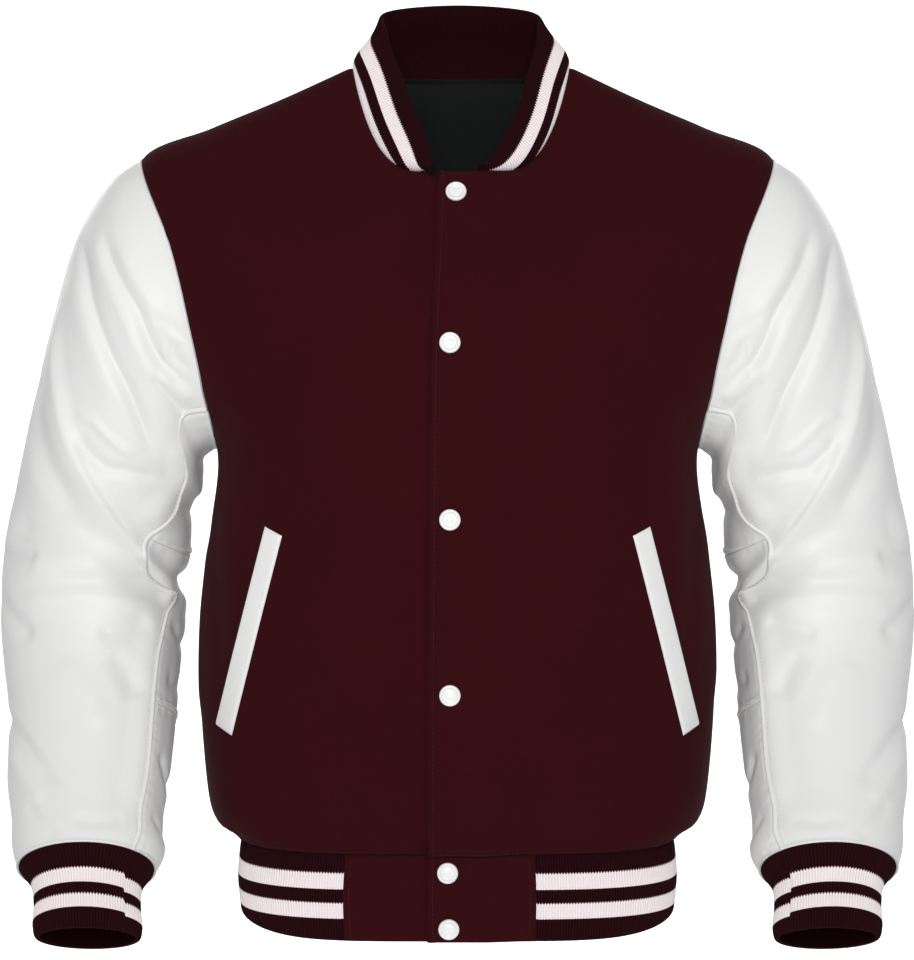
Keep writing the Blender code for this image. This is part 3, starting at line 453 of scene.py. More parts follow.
# Gathers above the rib band: turn of the crease, depth, half width in turns, and how many stations it climbs.
GATHER_TURNS = (0.36, 0.43, 0.52, 0.58, 0.66, 0.73, 0.79, 0.87, 0.94, 1.03, 1.09, 1.17, 1.24, 1.33, 1.39, 1.47,
                1.56, 1.62, 1.71, 1.79, 1.85, 1.94, 2.02, 2.09, 2.18, 2.24, 2.33, 2.41, 2.47, 2.56, 2.62, 2.71,
                2.77, 2.86, 2.93, 3.02, 3.08, 3.16, 3.22, 3.30, 3.37, 3.46, 3.54, 3.63)
GATHERS = tuple((turn, -0.0011 - 0.0009 * ((7 * k) % 5) / 4, 0.011 + 0.006 * ((3 * k) % 4) / 3,
                 1.5 + 0.9 * ((5 * k) % 7) / 6)
                for k, turn in enumerate(GATHER_TURNS))
print(len(BODY_FOLDS), "folds on the body,", len(GATHERS), "gathers")


# %% Height of the folds
def smooth(share):
    share = np.clip(share, 0.0, 1.0)
    return share * share * (3 - 2 * share)


def between_rings(ring, last, stations):
    """Values at stations between rings, on a smooth curve through them; ring gives those at whole stations."""
    index = np.clip(stations.astype(int), 0, last - 1)
    t = (stations - index)[..., None]
    before, here, there, after = (ring(np.clip(index + k, 0, last)) for k in (-1, 0, 1, 2))
    bend = (there - before) * t + (2 * before - 5 * here + 4 * there - after) * t ** 2
    return here + 0.5 * (bend + (3 * here - before - 3 * there + after) * t ** 3)


def between_rows(table, stations):
    """A table's rows at stations between them."""
    table = np.asarray(table, float)
    return between_rings(lambda index: table[index], len(table) - 1, np.asarray(stations, float))


def path_gaps(points, outward, line):
    """Distance of points from a line on their surface, positive on its left, and share of the way along it."""
    lengths = np.linalg.norm(np.diff(line, axis=0), axis=1)
    gone = np.concatenate(([0.0], np.cumsum(lengths)))
    best = np.full(len(points), np.inf)
    signed, share = np.zeros(len(points)), np.zeros(len(points))
    for k, (start, end) in enumerate(zip(line[:-1], line[1:])):
        along, away = end - start, points - start
        t = np.clip(away @ along / (along @ along), 0.0, 1.0)
        gap = np.linalg.norm(away - t[:, None] * along, axis=1)
        side = np.where(np.sum(np.cross(along, away) * outward, axis=1) >= 0, 1.0, -1.0)
        nearer = gap < best
        best = np.where(nearer, gap, best)
        signed = np.where(nearer, side * gap, signed)
        share = np.where(nearer, (gone[k] + t * lengths[k]) / gone[-1], share)
    return signed, share


def fold_heights(points, outward, folds, on_surface):
    """Sum of the folds at points of a surface; on_surface gives the points of a path's places."""
    total = np.zeros(points.shape[:-1])
    for rise, crisp, left, right, path in folds:
        places = between_rows(path, np.linspace(0, len(path) - 1, (len(path) - 1) * 4 + 1))
        line = on_surface(places[:, 0], places[:, 1])
        reach = max(left, right)
        near = np.all((points > line.min(0) - reach) & (points < line.max(0) + reach), axis=-1)
        if near.any():
            signed, share = path_gaps(points[near], outward[near], line)
            t = np.clip(np.abs(signed) / np.where(signed > 0, left, right), 0.0, 1.0)
            bell = (1 - t) ** 2 * (1 + 2 * t * (1 - crisp))
            total[near] += rise * bell * smooth(np.minimum(share, 1 - share) / FOLD_FADE + FOLD_END_LEFT)
    return total


def gather_heights(stations, turns):
    """Height of the gathers at body places; turns may be negative on the right side."""
    turns = np.where(turns < 0, turns + 4, turns)
    total = np.zeros(np.broadcast(stations, turns).shape)
    for turn, depth, half_width, climb in GATHERS:
        bell = 0.5 + 0.5 * np.cos(math.pi * np.clip(np.abs(turns - turn) / half_width, 0, 1))
        total += depth * bell * (1 - smooth(stations / climb)) * smooth(stations / GATHER_START)
    return total


print("halfway between two rings:", between_rows(BODY_ROWS, 4.5)[:3].round(4))


# %% [markdown]
# ## Surfaces
# `on_body` gives the point at a station and a turn of the body or the band, and `on_sleeve` the one at an angle
# and a station of a sleeve. Both take whole arrays, so that a panel of fifteen thousand points is one call.

# %% Rings at any station
def units(vectors):
    return vectors / np.linalg.norm(vectors, axis=-1, keepdims=True)


QUARTER = np.linspace(0, math.pi / 2, 361)
SHARES = np.linspace(0, 1, 401)
STATION_SAMPLES = 40
quarters = {}


def quarter_tables(rows, depth_name):
    """Rounded quarters of every ring, as x and y shares at even lengths from the centre line to the side."""
    if (rows, depth_name) not in quarters:
        stations = np.linspace(0, len(rows) - 1, (len(rows) - 1) * STATION_SAMPLES + 1)
        made = []
        for values in between_rows(rows, stations):
            ring = dict(zip(BODY_COLUMNS, values))
            x = np.sin(QUARTER) ** (2 / ring["square"])
            y = np.cos(QUARTER) ** (2 / ring["square"])
            steps = np.hypot(np.diff(x) * ring["half_width"], np.diff(y) * ring[depth_name])
            run = np.concatenate(([0.0], np.cumsum(steps)))
            made.append([np.interp(SHARES, run / run[-1], v) for v in (x, y)])
        quarters[rows, depth_name] = np.array(made)
    return quarters[rows, depth_name]


def quarter_at(rows, depth_name, stations, shares):
    """X and y shares between the entries of the quarter tables."""
    tables = quarter_tables(rows, depth_name)
    row = np.clip(stations * STATION_SAMPLES, 0, len(tables) - 1)
    column = np.clip(shares, 0, 1) * (len(SHARES) - 1)
    i, j = np.minimum(row.astype(int), len(tables) - 2), np.minimum(column.astype(int), len(SHARES) - 2)
    t, s = row - i, column - j
    low = tables[i, :, j] * (1 - s)[..., None] + tables[i, :, j + 1] * s[..., None]
    high = tables[i + 1, :, j] * (1 - s)[..., None] + tables[i + 1, :, j + 1] * s[..., None]
    both = low * (1 - t)[..., None] + high * t[..., None]
    return both[..., 0], both[..., 1]


def ring_points(rows, stations, turns):
    """Points of rings. Turn is 0 at the front centre, 1 and -1 at the left and right side, 2 at the back."""
    stations, turns = np.broadcast_arrays(np.asarray(stations, float), np.asarray(turns, float))
    ring = dict(zip(BODY_COLUMNS, np.moveaxis(between_rows(rows, stations), -1, 0)))
    share = 1 - np.abs(1 - np.abs(turns))
    points = np.zeros(turns.shape + (3,))
    for here, depth, height, way in ((np.abs(turns) <= 1, "front_y", "front_z", -1),
                                     (np.abs(turns) > 1, "back_y", "back_z", 1)):
        x, y = quarter_at(rows, depth, stations[here], share[here])
        side_z, end_z = ring["side_z"][here], ring[height][here]
        z = end_z + (side_z - end_z) * x ** ring["rise"][here]
        x = ring["centre_x"][here] + np.copysign(x * ring["half_width"][here], turns[here])
        points[here] = np.stack((x, way * y * ring[depth][here], z), axis=-1)
    return points


def ring_normals(rows, stations, turns):
    """Outward directions of the surface through the rings."""
    step = 0.02
    stations, turns = np.broadcast_arrays(np.asarray(stations, float), np.asarray(turns, float))
    low, high = np.maximum(stations - step, 0.0), np.minimum(stations + step, len(rows) - 1.0)
    up = ring_points(rows, high, turns) - ring_points(rows, low, turns)
    along = ring_points(rows, stations, turns + step) - ring_points(rows, stations, turns - step)
    return units(np.cross(along, up))


print("front of the chest:", ring_points(BODY_ROWS, 8.0, 0.0).round(3))


# %% Points of the body and the band
def hem_directions(turns):
    """Directions at the hem seam between the body's surface and the band's, long enough to offset both."""
    body, band = ring_normals(BODY_ROWS, 0.0, turns), ring_normals(BAND_ROWS, len(BAND_ROWS) - 1.0, turns)
    middle = units(body + band)
    return middle / np.sum(middle * body, axis=-1, keepdims=True)


def signed(turns):
    """Turns that go on past the back, counted as negative ones on the right side."""
    return np.where(turns > 2, turns - 4, turns)


def on_rings(turns, stations):
    return ring_points(BODY_ROWS, stations, signed(turns))


CALM_HALF_WIDTH, CALM_STATIONS, CALM_NECK, CALM_SHOULDER = 0.09, 0.8, 1.5, 1.2    # where folds fade out
LAP_START_BODY, LAP_START_BAND, PRESS_START = 1.3, 0.8, 0.4                        # stations


def on_body(rows, stations, turns, lapped=False):
    """Points of the cloth with its soft folds and, on the left front, its lift over the right one."""
    stations, turns = np.broadcast_arrays(np.asarray(stations, float), np.asarray(turns, float))
    points, normals = ring_points(rows, stations, turns), ring_normals(rows, stations, turns)
    if rows is BODY_ROWS:
        above_seam = smooth(stations / CALM_STATIONS)
        calm = smooth(np.abs(points[..., 0]) / CALM_HALF_WIDTH) * above_seam * smooth(
            (NECKLINE - stations) / CALM_NECK)
        height = fold_heights(points, normals, BODY_FOLDS, on_rings) * np.where(np.abs(turns) > 1, 1.0, calm)
        height = height * above_seam * smooth((SHOULDER - stations) / CALM_SHOULDER)
        points = points + normals * (height + gather_heights(stations, turns))[..., None]
    if lapped:
        from_seam = (stations / LAP_START_BODY if rows is BODY_ROWS
                     else (len(BAND_ROWS) - 1 - stations) / LAP_START_BAND)
        share = smooth(from_seam)[..., None]
        directions = normals * share + hem_directions(turns) * (1 - share)
        lift = LAP_LIFT * (1 - smooth((points[..., 0] - LAP_FLAT_TO) / (LAP_ENDS_AT - LAP_FLAT_TO)))
        points = points + directions * lift[..., None]
    else:
        edge = between_rows(rows, stations)[..., BODY_COLUMNS.index("closure_x")]
        gap = np.clip(np.abs(points[..., 0] - edge - LAP_PRESS_SIDE) / LAP_PRESS_WIDTH, 0.0, 1.0)
        calm_ends = smooth(stations / PRESS_START) * smooth((len(rows) - 1 - stations) / PRESS_START)
        press = np.where(np.abs(turns) < 1, LAP_PRESS * (1 - smooth(gap)) * calm_ends, 0.0)
        points = points - normals * press[..., None]
    return points


def turn_at_x(rows, station, x):
    """Turn of the front ring's point with this x, at one station or at several."""
    turns = np.linspace(-1, 1, 801)
    found = [np.interp(x, ring_points(rows, s, turns)[:, 0], turns) for s in np.atleast_1d(station)]
    return np.array(found) if np.ndim(station) else float(found[0])


def closure_turns(rows, stations):
    edge = between_rows(rows, np.atleast_1d(stations))[:, BODY_COLUMNS.index("closure_x")]
    return np.array([turn_at_x(rows, s, x) for s, x in zip(np.atleast_1d(stations), edge)])


print("a point of the chest:", on_body(BODY_ROWS, 8.0, 0.2).round(3))


# %% Points of the sleeves
def armhole(angles, depth):
    """Station and cut of the armhole at its angles, 0 at the underarm and 180 at the shoulder point."""
    middle, half = (UNDERARM + SHOULDER) / 2, (SHOULDER - UNDERARM) / 2
    return middle - half * np.cos(np.radians(angles)), depth * np.sin(np.radians(angles))


def armhole_points(angles, side):
    """Points of the armhole seam, which belong to the body as much as to the sleeve."""
    angles = np.asarray(angles, float) % 360
    forward = angles <= 180
    half_angles = np.where(forward, angles, 360 - angles)
    stations, cuts = armhole(half_angles, np.where(forward, ARMHOLE_FRONT, ARMHOLE_BACK))
    return on_body(BODY_ROWS, stations, side * np.where(forward, 1 - cuts, 1 + cuts))


ARMHOLE_CALM, CUFF_CALM = 0.30, 0.5         # stations without full folds at either end of a sleeve
LOOP_DEGREES = np.arange(0, 360.5, 0.5)
LOOPS = {side: armhole_points(LOOP_DEGREES, side) * (side, 1, 1) for side in (1, -1)}
SLEEVE_TABLE = np.array(SLEEVE_ROWS)


def sleeve_rings(index, angles, side):
    """Points at angles of the sleeve's rings, seen as a left sleeve. Ring 0 is the armhole."""
    ring = dict(zip(SLEEVE_COLUMNS, np.moveaxis(SLEEVE_TABLE[np.maximum(index, 1) - 1], -1, 0)))
    across, forward = np.cos(np.radians(angles)), np.sin(np.radians(angles))
    tilt = np.radians(ring["tilt"])
    x = (ring["inner_x"] + ring["outer_x"]) / 2 + (ring["inner_x"] - ring["outer_x"]) / 2 * across
    z = (ring["inner_z"] + ring["outer_z"]) / 2 + (ring["inner_z"] - ring["outer_z"]) / 2 * across
    y = ring["centre_y"] - np.cos(tilt) * ring["half_depth"] * forward
    z = z + np.sin(tilt) * ring["half_depth"] * forward
    loop = np.stack([np.interp(angles % 360, LOOP_DEGREES, LOOPS[side][:, k]) for k in range(3)], axis=-1)
    return np.where((index == 0)[..., None], loop, np.stack((x, y, z), axis=-1))


def sleeve_base(angles, stations, side):
    """Points of a sleeve without its folds, seen as a left sleeve."""
    angles, stations = np.broadcast_arrays(np.asarray(angles, float), np.asarray(stations, float))
    return between_rings(lambda index: sleeve_rings(index, angles, side), SLEEVE_END, stations)


def on_sleeve(angles, stations, side):
    """Points of a sleeve with its folds; side is 1 for the wearer's left and -1 for the right."""
    angles, stations = np.broadcast_arrays(np.asarray(angles, float), np.asarray(stations, float))
    points = sleeve_base(angles, stations, side)
    middle = (sleeve_base(0.0, stations, side) + sleeve_base(180.0, stations, side)) / 2
    outward = units(points - middle)
    height = fold_heights(points, outward, SLEEVE_FOLDS, lambda *place: sleeve_base(*place, side))
    # The armhole is the body's line as well, so the folds begin just beyond it.
    height = height * smooth(stations / ARMHOLE_CALM) * smooth((SLEEVE_END - stations) / CUFF_CALM)
    return (points + outward * height[..., None]) * (side, 1, 1)


print("the left elbow:", on_sleeve(180.0, 8.0, 1).round(3))


# %% [markdown]
# ## Panels
# Each panel is a grid of points whose rows run up the cloth and whose columns run to the right as seen from
# outside. Rows and columns crowd together beside a seam, where the edge rolls under, and are 3 to 4 mm apart
# between. Panels that are sewn together share the points of their seam.

# %% Spacing
SEAM_STEPS = (0.0, 0.0005, 0.0012, 0.0022, 0.0036, 0.0056, 0.0080)     # distances from a seam


def spaced(length, count, at_start=True, at_end=True):
    """Distances along a length: crowded beside its seams, and count even steps between."""
    head = np.array(SEAM_STEPS[:-1] if at_start else ())
    tail = np.array(SEAM_STEPS[:-1] if at_end else ())
    first = SEAM_STEPS[-1] if at_start else 0.0
    last = length - (SEAM_STEPS[-1] if at_end else 0.0)
    return np.concatenate((head, np.linspace(first, last, count + 1), length - tail[::-1]))


def run_along(points, axis=0):
    """Distance of each point of a line or a grid from the first one of its line, row or column."""
    steps = np.linalg.norm(np.diff(points, axis=axis, prepend=np.take(points, [0], axis)), axis=-1)
    return np.cumsum(steps, axis)


def spaced_between(line, start, end, step, at_start=True, at_end=True):
    """Values from start to end whose points on a line are spaced; line gives the points of its values."""
    fine = np.linspace(start, end, 241)
    run = run_along(line(fine))
    return np.interp(spaced(run[-1], max(1, round(run[-1] / step)), at_start, at_end), run, fine)


def body_side_line(stations):
    return ring_points(BODY_ROWS, stations, 0.8)


BODY_STEP, SLEEVE_STEP = 0.0040, 0.0027
HALF_ARMHOLE = np.concatenate((np.arange(0, 40, 3), (41.5, 43, 44, 44.5, 45, 45.5, 46, 47, 48.5),
                               np.arange(51, 181, 3)))
BELOW = spaced_between(body_side_line, 0.0, float(UNDERARM), BODY_STEP, True, False)[:-1]
ABOVE = spaced_between(body_side_line, float(SHOULDER), float(NECKLINE), BODY_STEP, False, True)[1:]
print(len(BELOW), "+", len(HALF_ARMHOLE), "+", len(ABOVE), "rows of the body")


# %% Rows and columns of the fronts and the back
FRONT_STEPS, LAP_STEPS, BACK_STEPS = 58, 9, 104


def panel_rows(depth):
    """For each row of a body panel: its station at the middle, its station at the side seam, and its cut."""
    rim, cut = armhole(HALF_ARMHOLE, depth)
    even = UNDERARM + (SHOULDER - UNDERARM) * HALF_ARMHOLE / 180
    middle = np.concatenate((BELOW, even, ABOVE))
    side = np.concatenate((BELOW, rim, ABOVE))
    cuts = np.concatenate((np.zeros(len(BELOW)), cut, np.zeros(len(ABOVE))))
    return middle, side, cuts


def row_length(station, start, end):
    return run_along(ring_points(BODY_ROWS, station, np.linspace(start, end, 33)))[-1]


def front_places(left):
    """Stations and turns of a front's grid, from its closure to its side."""
    middle, side, cuts = panel_rows(ARMHOLE_FRONT)
    edge = closure_turns(BODY_ROWS, middle) if left else -turn_at_x(BODY_ROWS, middle, UNDERLAP_EDGE)
    end = np.abs(turn_at_x(BODY_ROWS, middle, COLLAR_END if left else -COLLAR_END))
    turns = []
    for station, start, collar, cut in zip(middle, edge, end, cuts):
        lap = row_length(station, start, collar)
        rest = row_length(station, collar, 1 - cut)
        lap_turns = start + (collar - start) * spaced(lap, LAP_STEPS, True, False)[:-1] / lap
        rest_turns = collar + (1 - cut - collar) * spaced(rest, FRONT_STEPS, False) / rest
        turns.append(np.concatenate((lap_turns, rest_turns)))
    turns = np.array(turns)
    shares = (turns - turns[:, :1]) / (turns[:, -1:] - turns[:, :1])
    stations = middle[:, None] + (side - middle)[:, None] * shares ** 2
    return stations, turns if left else -turns


def back_places():
    middle, side, cuts = panel_rows(ARMHOLE_BACK)
    turns = []
    for station, cut in zip(middle, cuts):
        length = row_length(station, 1 + cut, 2.0) * 2
        turns.append(1 + cut + (2 - 2 * cut) * spaced(length, BACK_STEPS) / length)
    turns = np.array(turns)
    shares = np.abs(2 * (turns - turns[:, :1]) / (turns[:, -1:] - turns[:, :1]) - 1)
    stations = middle[:, None] + (side - middle)[:, None] * shares ** 2
    return stations, signed(turns)


left_grid = on_body(BODY_ROWS, *front_places(True), lapped=True)
right_grid = on_body(BODY_ROWS, *(v[:, ::-1] for v in front_places(False)))
back_grid = on_body(BODY_ROWS, *back_places())
print("front grid", left_grid.shape[:2], "back grid", back_grid.shape[:2])


# %% Grids of the band and the collar
RIB_PITCH, RIB_DEPTH, RIB_COLUMNS = 0.00235, 0.0007, 4
BAND_STEP, TAB_STEP, CUFF_STEP = 0.0055, 0.005, 0.0045
BAND_TOP = len(BAND_ROWS) - 1.0


def even_along(line, values, count):
    """Values between whose points on a line are count equal steps."""
    run = run_along(line(values))
    return np.interp(np.linspace(0, run[-1], count + 1), run, values)


def rib_count(length):
    return RIB_COLUMNS * max(2, round(length / RIB_PITCH))


def band_line(turns):
    """Points half way up the band."""
    return ring_points(BAND_ROWS, 1.0, signed(turns))


band_stations = spaced_between(lambda s: ring_points(BAND_ROWS, s, 0.5), 0.0, BAND_TOP, BAND_STEP)


def band_grid(turns, lapped=False):
    return on_body(BAND_ROWS, band_stations[:, None], turns[None, :], lapped)


tab_turns = [turn_at_x(BAND_ROWS, BAND_TOP, x) for x in (TAB_LEFT_END, TAB_RIGHT_END, UNDERLAP_EDGE)]
closure_turn = float(closure_turns(BAND_ROWS, BAND_TOP)[0])
around = np.linspace(tab_turns[0], 4 + tab_turns[1], 1201)
band_turns = even_along(band_line, around, rib_count(run_along(band_line(around))[-1]))
hem_rib_grid = band_grid(signed(band_turns))
left_tab_grid = band_grid(spaced_between(band_line, closure_turn, tab_turns[0], TAB_STEP), True)
right_tab_grid = band_grid(spaced_between(band_line, tab_turns[1], tab_turns[2], TAB_STEP))
print("band grid", hem_rib_grid.shape[:2], "tabs", left_tab_grid.shape[:2], right_tab_grid.shape[:2])


# %% Grid of the collar
COLLAR_COLUMN = len(SEAM_STEPS) - 1 + LAP_STEPS         # column of the fronts where the collar ends
COLLAR_HEIGHT, COLLAR_STEPS = 0.055, 11


def grid_normals(grid, closed=False):
    """Outward directions at a grid's points, its rows running up and its columns to the right from outside."""
    along = np.roll(grid, -1, 1) - np.roll(grid, 1, 1) if closed else np.gradient(grid, axis=1)
    return units(np.cross(along, np.gradient(grid, axis=0)))


def collar_base_grid():
    """Standing collar: a loft from the neckline up to its fold, tapering to the two front ends."""
    neck = np.vstack((left_grid[-1][COLLAR_COLUMN:], back_grid[-1][1:-1], right_grid[-1][:-COLLAR_COLUMN]))
    run = run_along(neck)
    places = np.linspace(0, run[-1], rib_count(run[-1]) + 1)
    base = np.stack([np.interp(places, run, neck[:, k]) for k in range(3)], axis=-1)
    shares = [row[0] for row in COLLAR_FOLD_ROWS]
    stations = np.interp(places / run[-1], shares, range(len(shares)))
    fold = between_rows([row[1:] for row in COLLAR_FOLD_ROWS], stations)
    heights = spaced(COLLAR_HEIGHT, COLLAR_STEPS) / COLLAR_HEIGHT
    grid = base + (fold - base) * heights[:, None, None]
    roll = np.sin(heights * math.pi) * (COLLAR_BULGE + COLLAR_ROLL * (1 - heights))
    return grid + grid_normals(grid) * roll[:, None, None]


collar_grid = collar_base_grid()
print("collar grid", collar_grid.shape[:2])


# %% Grids of the sleeves
FRONT_SEAMS = ((UNDER_FRONT_START,),) + tuple((row[-1],) for row in SLEEVE_ROWS)
TOP_STEPS, UNDER_STEPS = 118, 40


def sleeve_grid(side, top, start, end):
    """Grid of a sleeve panel between two stations."""
    stations = spaced_between(lambda s: sleeve_base(180.0 if top else 0.0, s, 1), start, end, SLEEVE_STEP)
    front = between_rows(FRONT_SEAMS, stations)
    back = np.full_like(front, UNDER_BACK_SEAM)
    first, last = (front, back + 360) if top else (back, front)
    fine = first + (last - first) * np.linspace(0, 1, 121)
    points = sleeve_base(fine, stations[:, None], side)
    angles = []
    for values, line in zip(fine, points):
        run = run_along(line)
        angles.append(np.interp(spaced(run[-1], TOP_STEPS if top else UNDER_STEPS), run, values))
    return faced(on_sleeve(np.array(angles)[::-1], stations[::-1, None], side), side)


def faced(grid, side):
    """A left-hand grid, or its mirror image with its columns turned round so that it still faces outwards."""
    return grid if side > 0 else grid[:, ::-1]


print("front seam at the elbow: %.0f degrees" % between_rows(FRONT_SEAMS, 8.0)[0])


# %% Grids of the cuffs
CUFF_SEAM_ANGLE, CUFF_SEAM_STEP = 42.0, 0.0030      # its stripes meet a little off at the seam
CUFF_ROLL = ((0.0, 0.0015, 0.0030, 0.0060, 0.0120, 0.0200, 0.0280),     # distance from the opening, and height
             (-0.0021, -0.0011, -0.0004, 0.0004, 0.0012, 0.0006, 0.0))


def cuff_grid(side):
    """Tube from the sleeve's end ring down to the rolled opening, with the angles of its columns."""
    angles = np.linspace(UNDER_BACK_SEAM, UNDER_BACK_SEAM + 360, 721)
    rings = [on_sleeve(angles, float(SLEEVE_END), side)]
    for values in CUFF_ROWS:
        ring = dict(zip(CUFF_COLUMNS, values))
        tilt, forward = math.radians(ring["tilt"]), np.sin(np.radians(angles)) * ring["half_depth"]
        rings.append(np.stack((side * (ring["centre_x"] - ring["half_width"] * np.cos(np.radians(angles))),
                               ring["centre_y"] - forward * math.cos(tilt),
                               ring["centre_z"] + forward * math.sin(tilt)), axis=-1))
    rings = np.array(rings)
    middle = run_along(rings[2])
    even = np.linspace(0, middle[-1], rib_count(middle[-1]) + 1)[:-1]
    places = np.interp(even, middle, range(len(angles)))
    stations = spaced_between(lambda s: between_rows(rings[:, 180], s), 0.0, 3.0, CUFF_STEP)[::-1]
    tube = between_rows(rings.reshape(len(rings), -1), stations).reshape(len(stations), len(angles), 3)
    whole = places.astype(int)
    share = (places - whole)[None, :, None]
    grid = faced(tube[:, whole] * (1 - share) + tube[:, whole + 1] * share, side)
    roll = np.interp(run_along(grid).mean(1), *CUFF_ROLL)
    column_angles = np.interp(places, range(len(angles)), angles)
    return grid + grid_normals(grid, True) * roll[:, None, None], faced(column_angles[None], side)[0]


print("a cuff's roll reaches", CUFF_ROLL[0][-1], "m from its opening")


# %% [markdown]
# ## Walls
# A sheet of cloth has two faces and a rim, so each grid becomes a closed wall: an outer face, an inner face set
# back along the surface's normals, and a rim between them. At a seam the neighbours' rims share the direction
# halfway between their normals, which keeps their walls from crossing. The outer face carries the edge profile:
# a seam rolls under, a lapped seam stands up on its allowance, and a fold is round.

# %% Directions of the wall
SEAM_REACH = 0.003


def inward_steps(line, inside, closed):
    """Unit steps in the surface from a rim line towards the next line inside it."""
    along = units(np.roll(line, -1, 0) - np.roll(line, 1, 0) if closed else np.gradient(line, axis=0))
    step = inside - line
    return units(step - along * np.sum(step * along, axis=1, keepdims=True))


def rim_steps(grid, closed=False):
    """For each point on the rim, its unit step in the surface away from the rim; nothing elsewhere."""
    steps = np.zeros_like(grid)
    steps[0] += inward_steps(grid[0], grid[1], closed)
    steps[-1] += inward_steps(grid[-1], grid[-2], closed)
    if not closed:
        steps[:, 0] += inward_steps(grid[:, 0], grid[:, 1], False)
        steps[:, -1] += inward_steps(grid[:, -1], grid[:, -2], False)
    return steps


def share_seams(cloths):
    """Directions of every piece's wall, turned at its rim to lie halfway to its neighbours'."""
    directions = {name: grid_normals(c.grid, c.closed) for name, c in cloths.items()}
    rims = []
    for name, cloth in cloths.items():
        for i, j in np.argwhere(np.linalg.norm(rim_steps(cloth.grid, cloth.closed), axis=2) > 0):
            rims.append((name, i, j, Vector(cloth.grid[i, j]), directions[name][i, j].copy()))
    tree = KDTree(len(rims))
    for k, rim in enumerate(rims):
        tree.insert(rim[3], k)
    tree.balance()
    for name, i, j, point, own in rims:
        nearest = {}
        for _, k, gap in tree.find_range(point, SEAM_REACH):
            if rims[k][0] != name and gap < nearest.get(rims[k][0], (1.0,))[0]:
                nearest[rims[k][0]] = gap, rims[k][4]
        middle = units(own + sum((v[1] for v in nearest.values()), np.zeros(3)))
        leaning = float(middle @ own)
        if leaning > BLUNT_SEAM:
            directions[name][i, j] = middle / leaning
    return directions


print("the chest faces", grid_normals(left_grid)[60, 20].round(2))


# %% Profiles of the edges
# Height of the cloth's outer face at the SEAM_STEPS from its edge, level beyond the last.
EDGES = {
    "soft": (-0.0012, -0.0008, -0.0005, -0.00028, -0.0001, 0.0),
    "lapped": (0.00035, 0.0010, 0.0012, 0.00115, 0.00095, 0.0),
    "corded": (-0.0003, 0.0009, 0.00140, 0.00120, -0.0005, 0.0),
    "piped": (0.0006, 0.0009, 0.00085, 0.00030, -0.0002, 0.0),
    "overlapping": (-0.0016, -0.0008, 0.0002, 0.0009, 0.0012, 0.0007, 0.0),
    "tucked": (-0.0009, -0.0006, -0.0003, 0.0, 0.0002, 0.0),
    "turned": (-0.0015, -0.0008, -0.0004, -0.00012, 0.0),
}
DEEPEST_EDGE = -0.0016


def edge_heights(grid, edges, closed=False):
    """Sum of the profiles of a grid's bottom, top, left and right edges."""
    up = run_along(grid)
    ways = [up, up[-1:] - up]
    if not closed:
        across = run_along(grid, 1)
        ways += [across, across[:, -1:] - across]
    total = np.zeros(grid.shape[:2])
    for name, distance in zip(edges, ways):
        if name:
            total += np.interp(distance, SEAM_STEPS[:len(EDGES[name])], EDGES[name])
    return np.maximum(total, DEEPEST_EDGE)


print("edge profiles:", ", ".join(EDGES))


# %% Runs of vertices
INNER_STEP = 0.0036         # the inner face is coarser than the outer one


def bridge(points, first, second):
    """Triangles between two runs of vertices that go the same way, each across the shorter diagonal."""
    faces = []
    i, j = 0, 0
    ends = len(first) - 1, len(second) - 1
    while (i, j) != ends:
        ahead = i < ends[0] and np.linalg.norm(points[first[i + 1]] - points[second[j]])
        behind = j < ends[1] and np.linalg.norm(points[first[i]] - points[second[j + 1]])
        if j == ends[1] or (i < ends[0] and ahead < behind):
            faces.append((first[i], first[i + 1], second[j]))
            i += 1
        else:
            faces.append((first[i], second[j + 1], second[j]))
            j += 1
    return faces


def thinned(run):
    """Indices that keep both ends of a run of distances and steps of about INNER_STEP between."""
    kept = [0]
    for k, distance in enumerate(run):
        if distance - run[kept[-1]] >= INNER_STEP and run[-1] - distance >= INNER_STEP * 0.7:
            kept.append(k)
    return kept + [len(run) - 1]


def quads(index):
    return np.stack((index[:-1, :-1], index[:-1, 1:], index[1:, 1:], index[1:, :-1]), axis=-1).reshape(-1, 4)


print("inner columns of a front:", len(thinned(run_along(left_grid[40]))), "of", left_grid.shape[1])


# %% From grids to meshes
SHARP_DEGREES = 62


def flat_cut(grid, closed=False):
    """Widest row, longest column and area of a grid, measured along the cloth."""
    widths = np.linalg.norm(np.diff(grid, axis=1), axis=2).sum(1)
    if closed:
        widths = widths + np.linalg.norm(grid[:, 0] - grid[:, -1], axis=1)
    heights = np.linalg.norm(np.diff(grid, axis=0), axis=2).sum(0)
    cells = np.cross(grid[1:, 1:] - grid[:-1, :-1], grid[1:, :-1] - grid[:-1, 1:])
    return float(widths.max()), float(heights.max()), float(np.linalg.norm(cells, axis=2).sum() / 2)


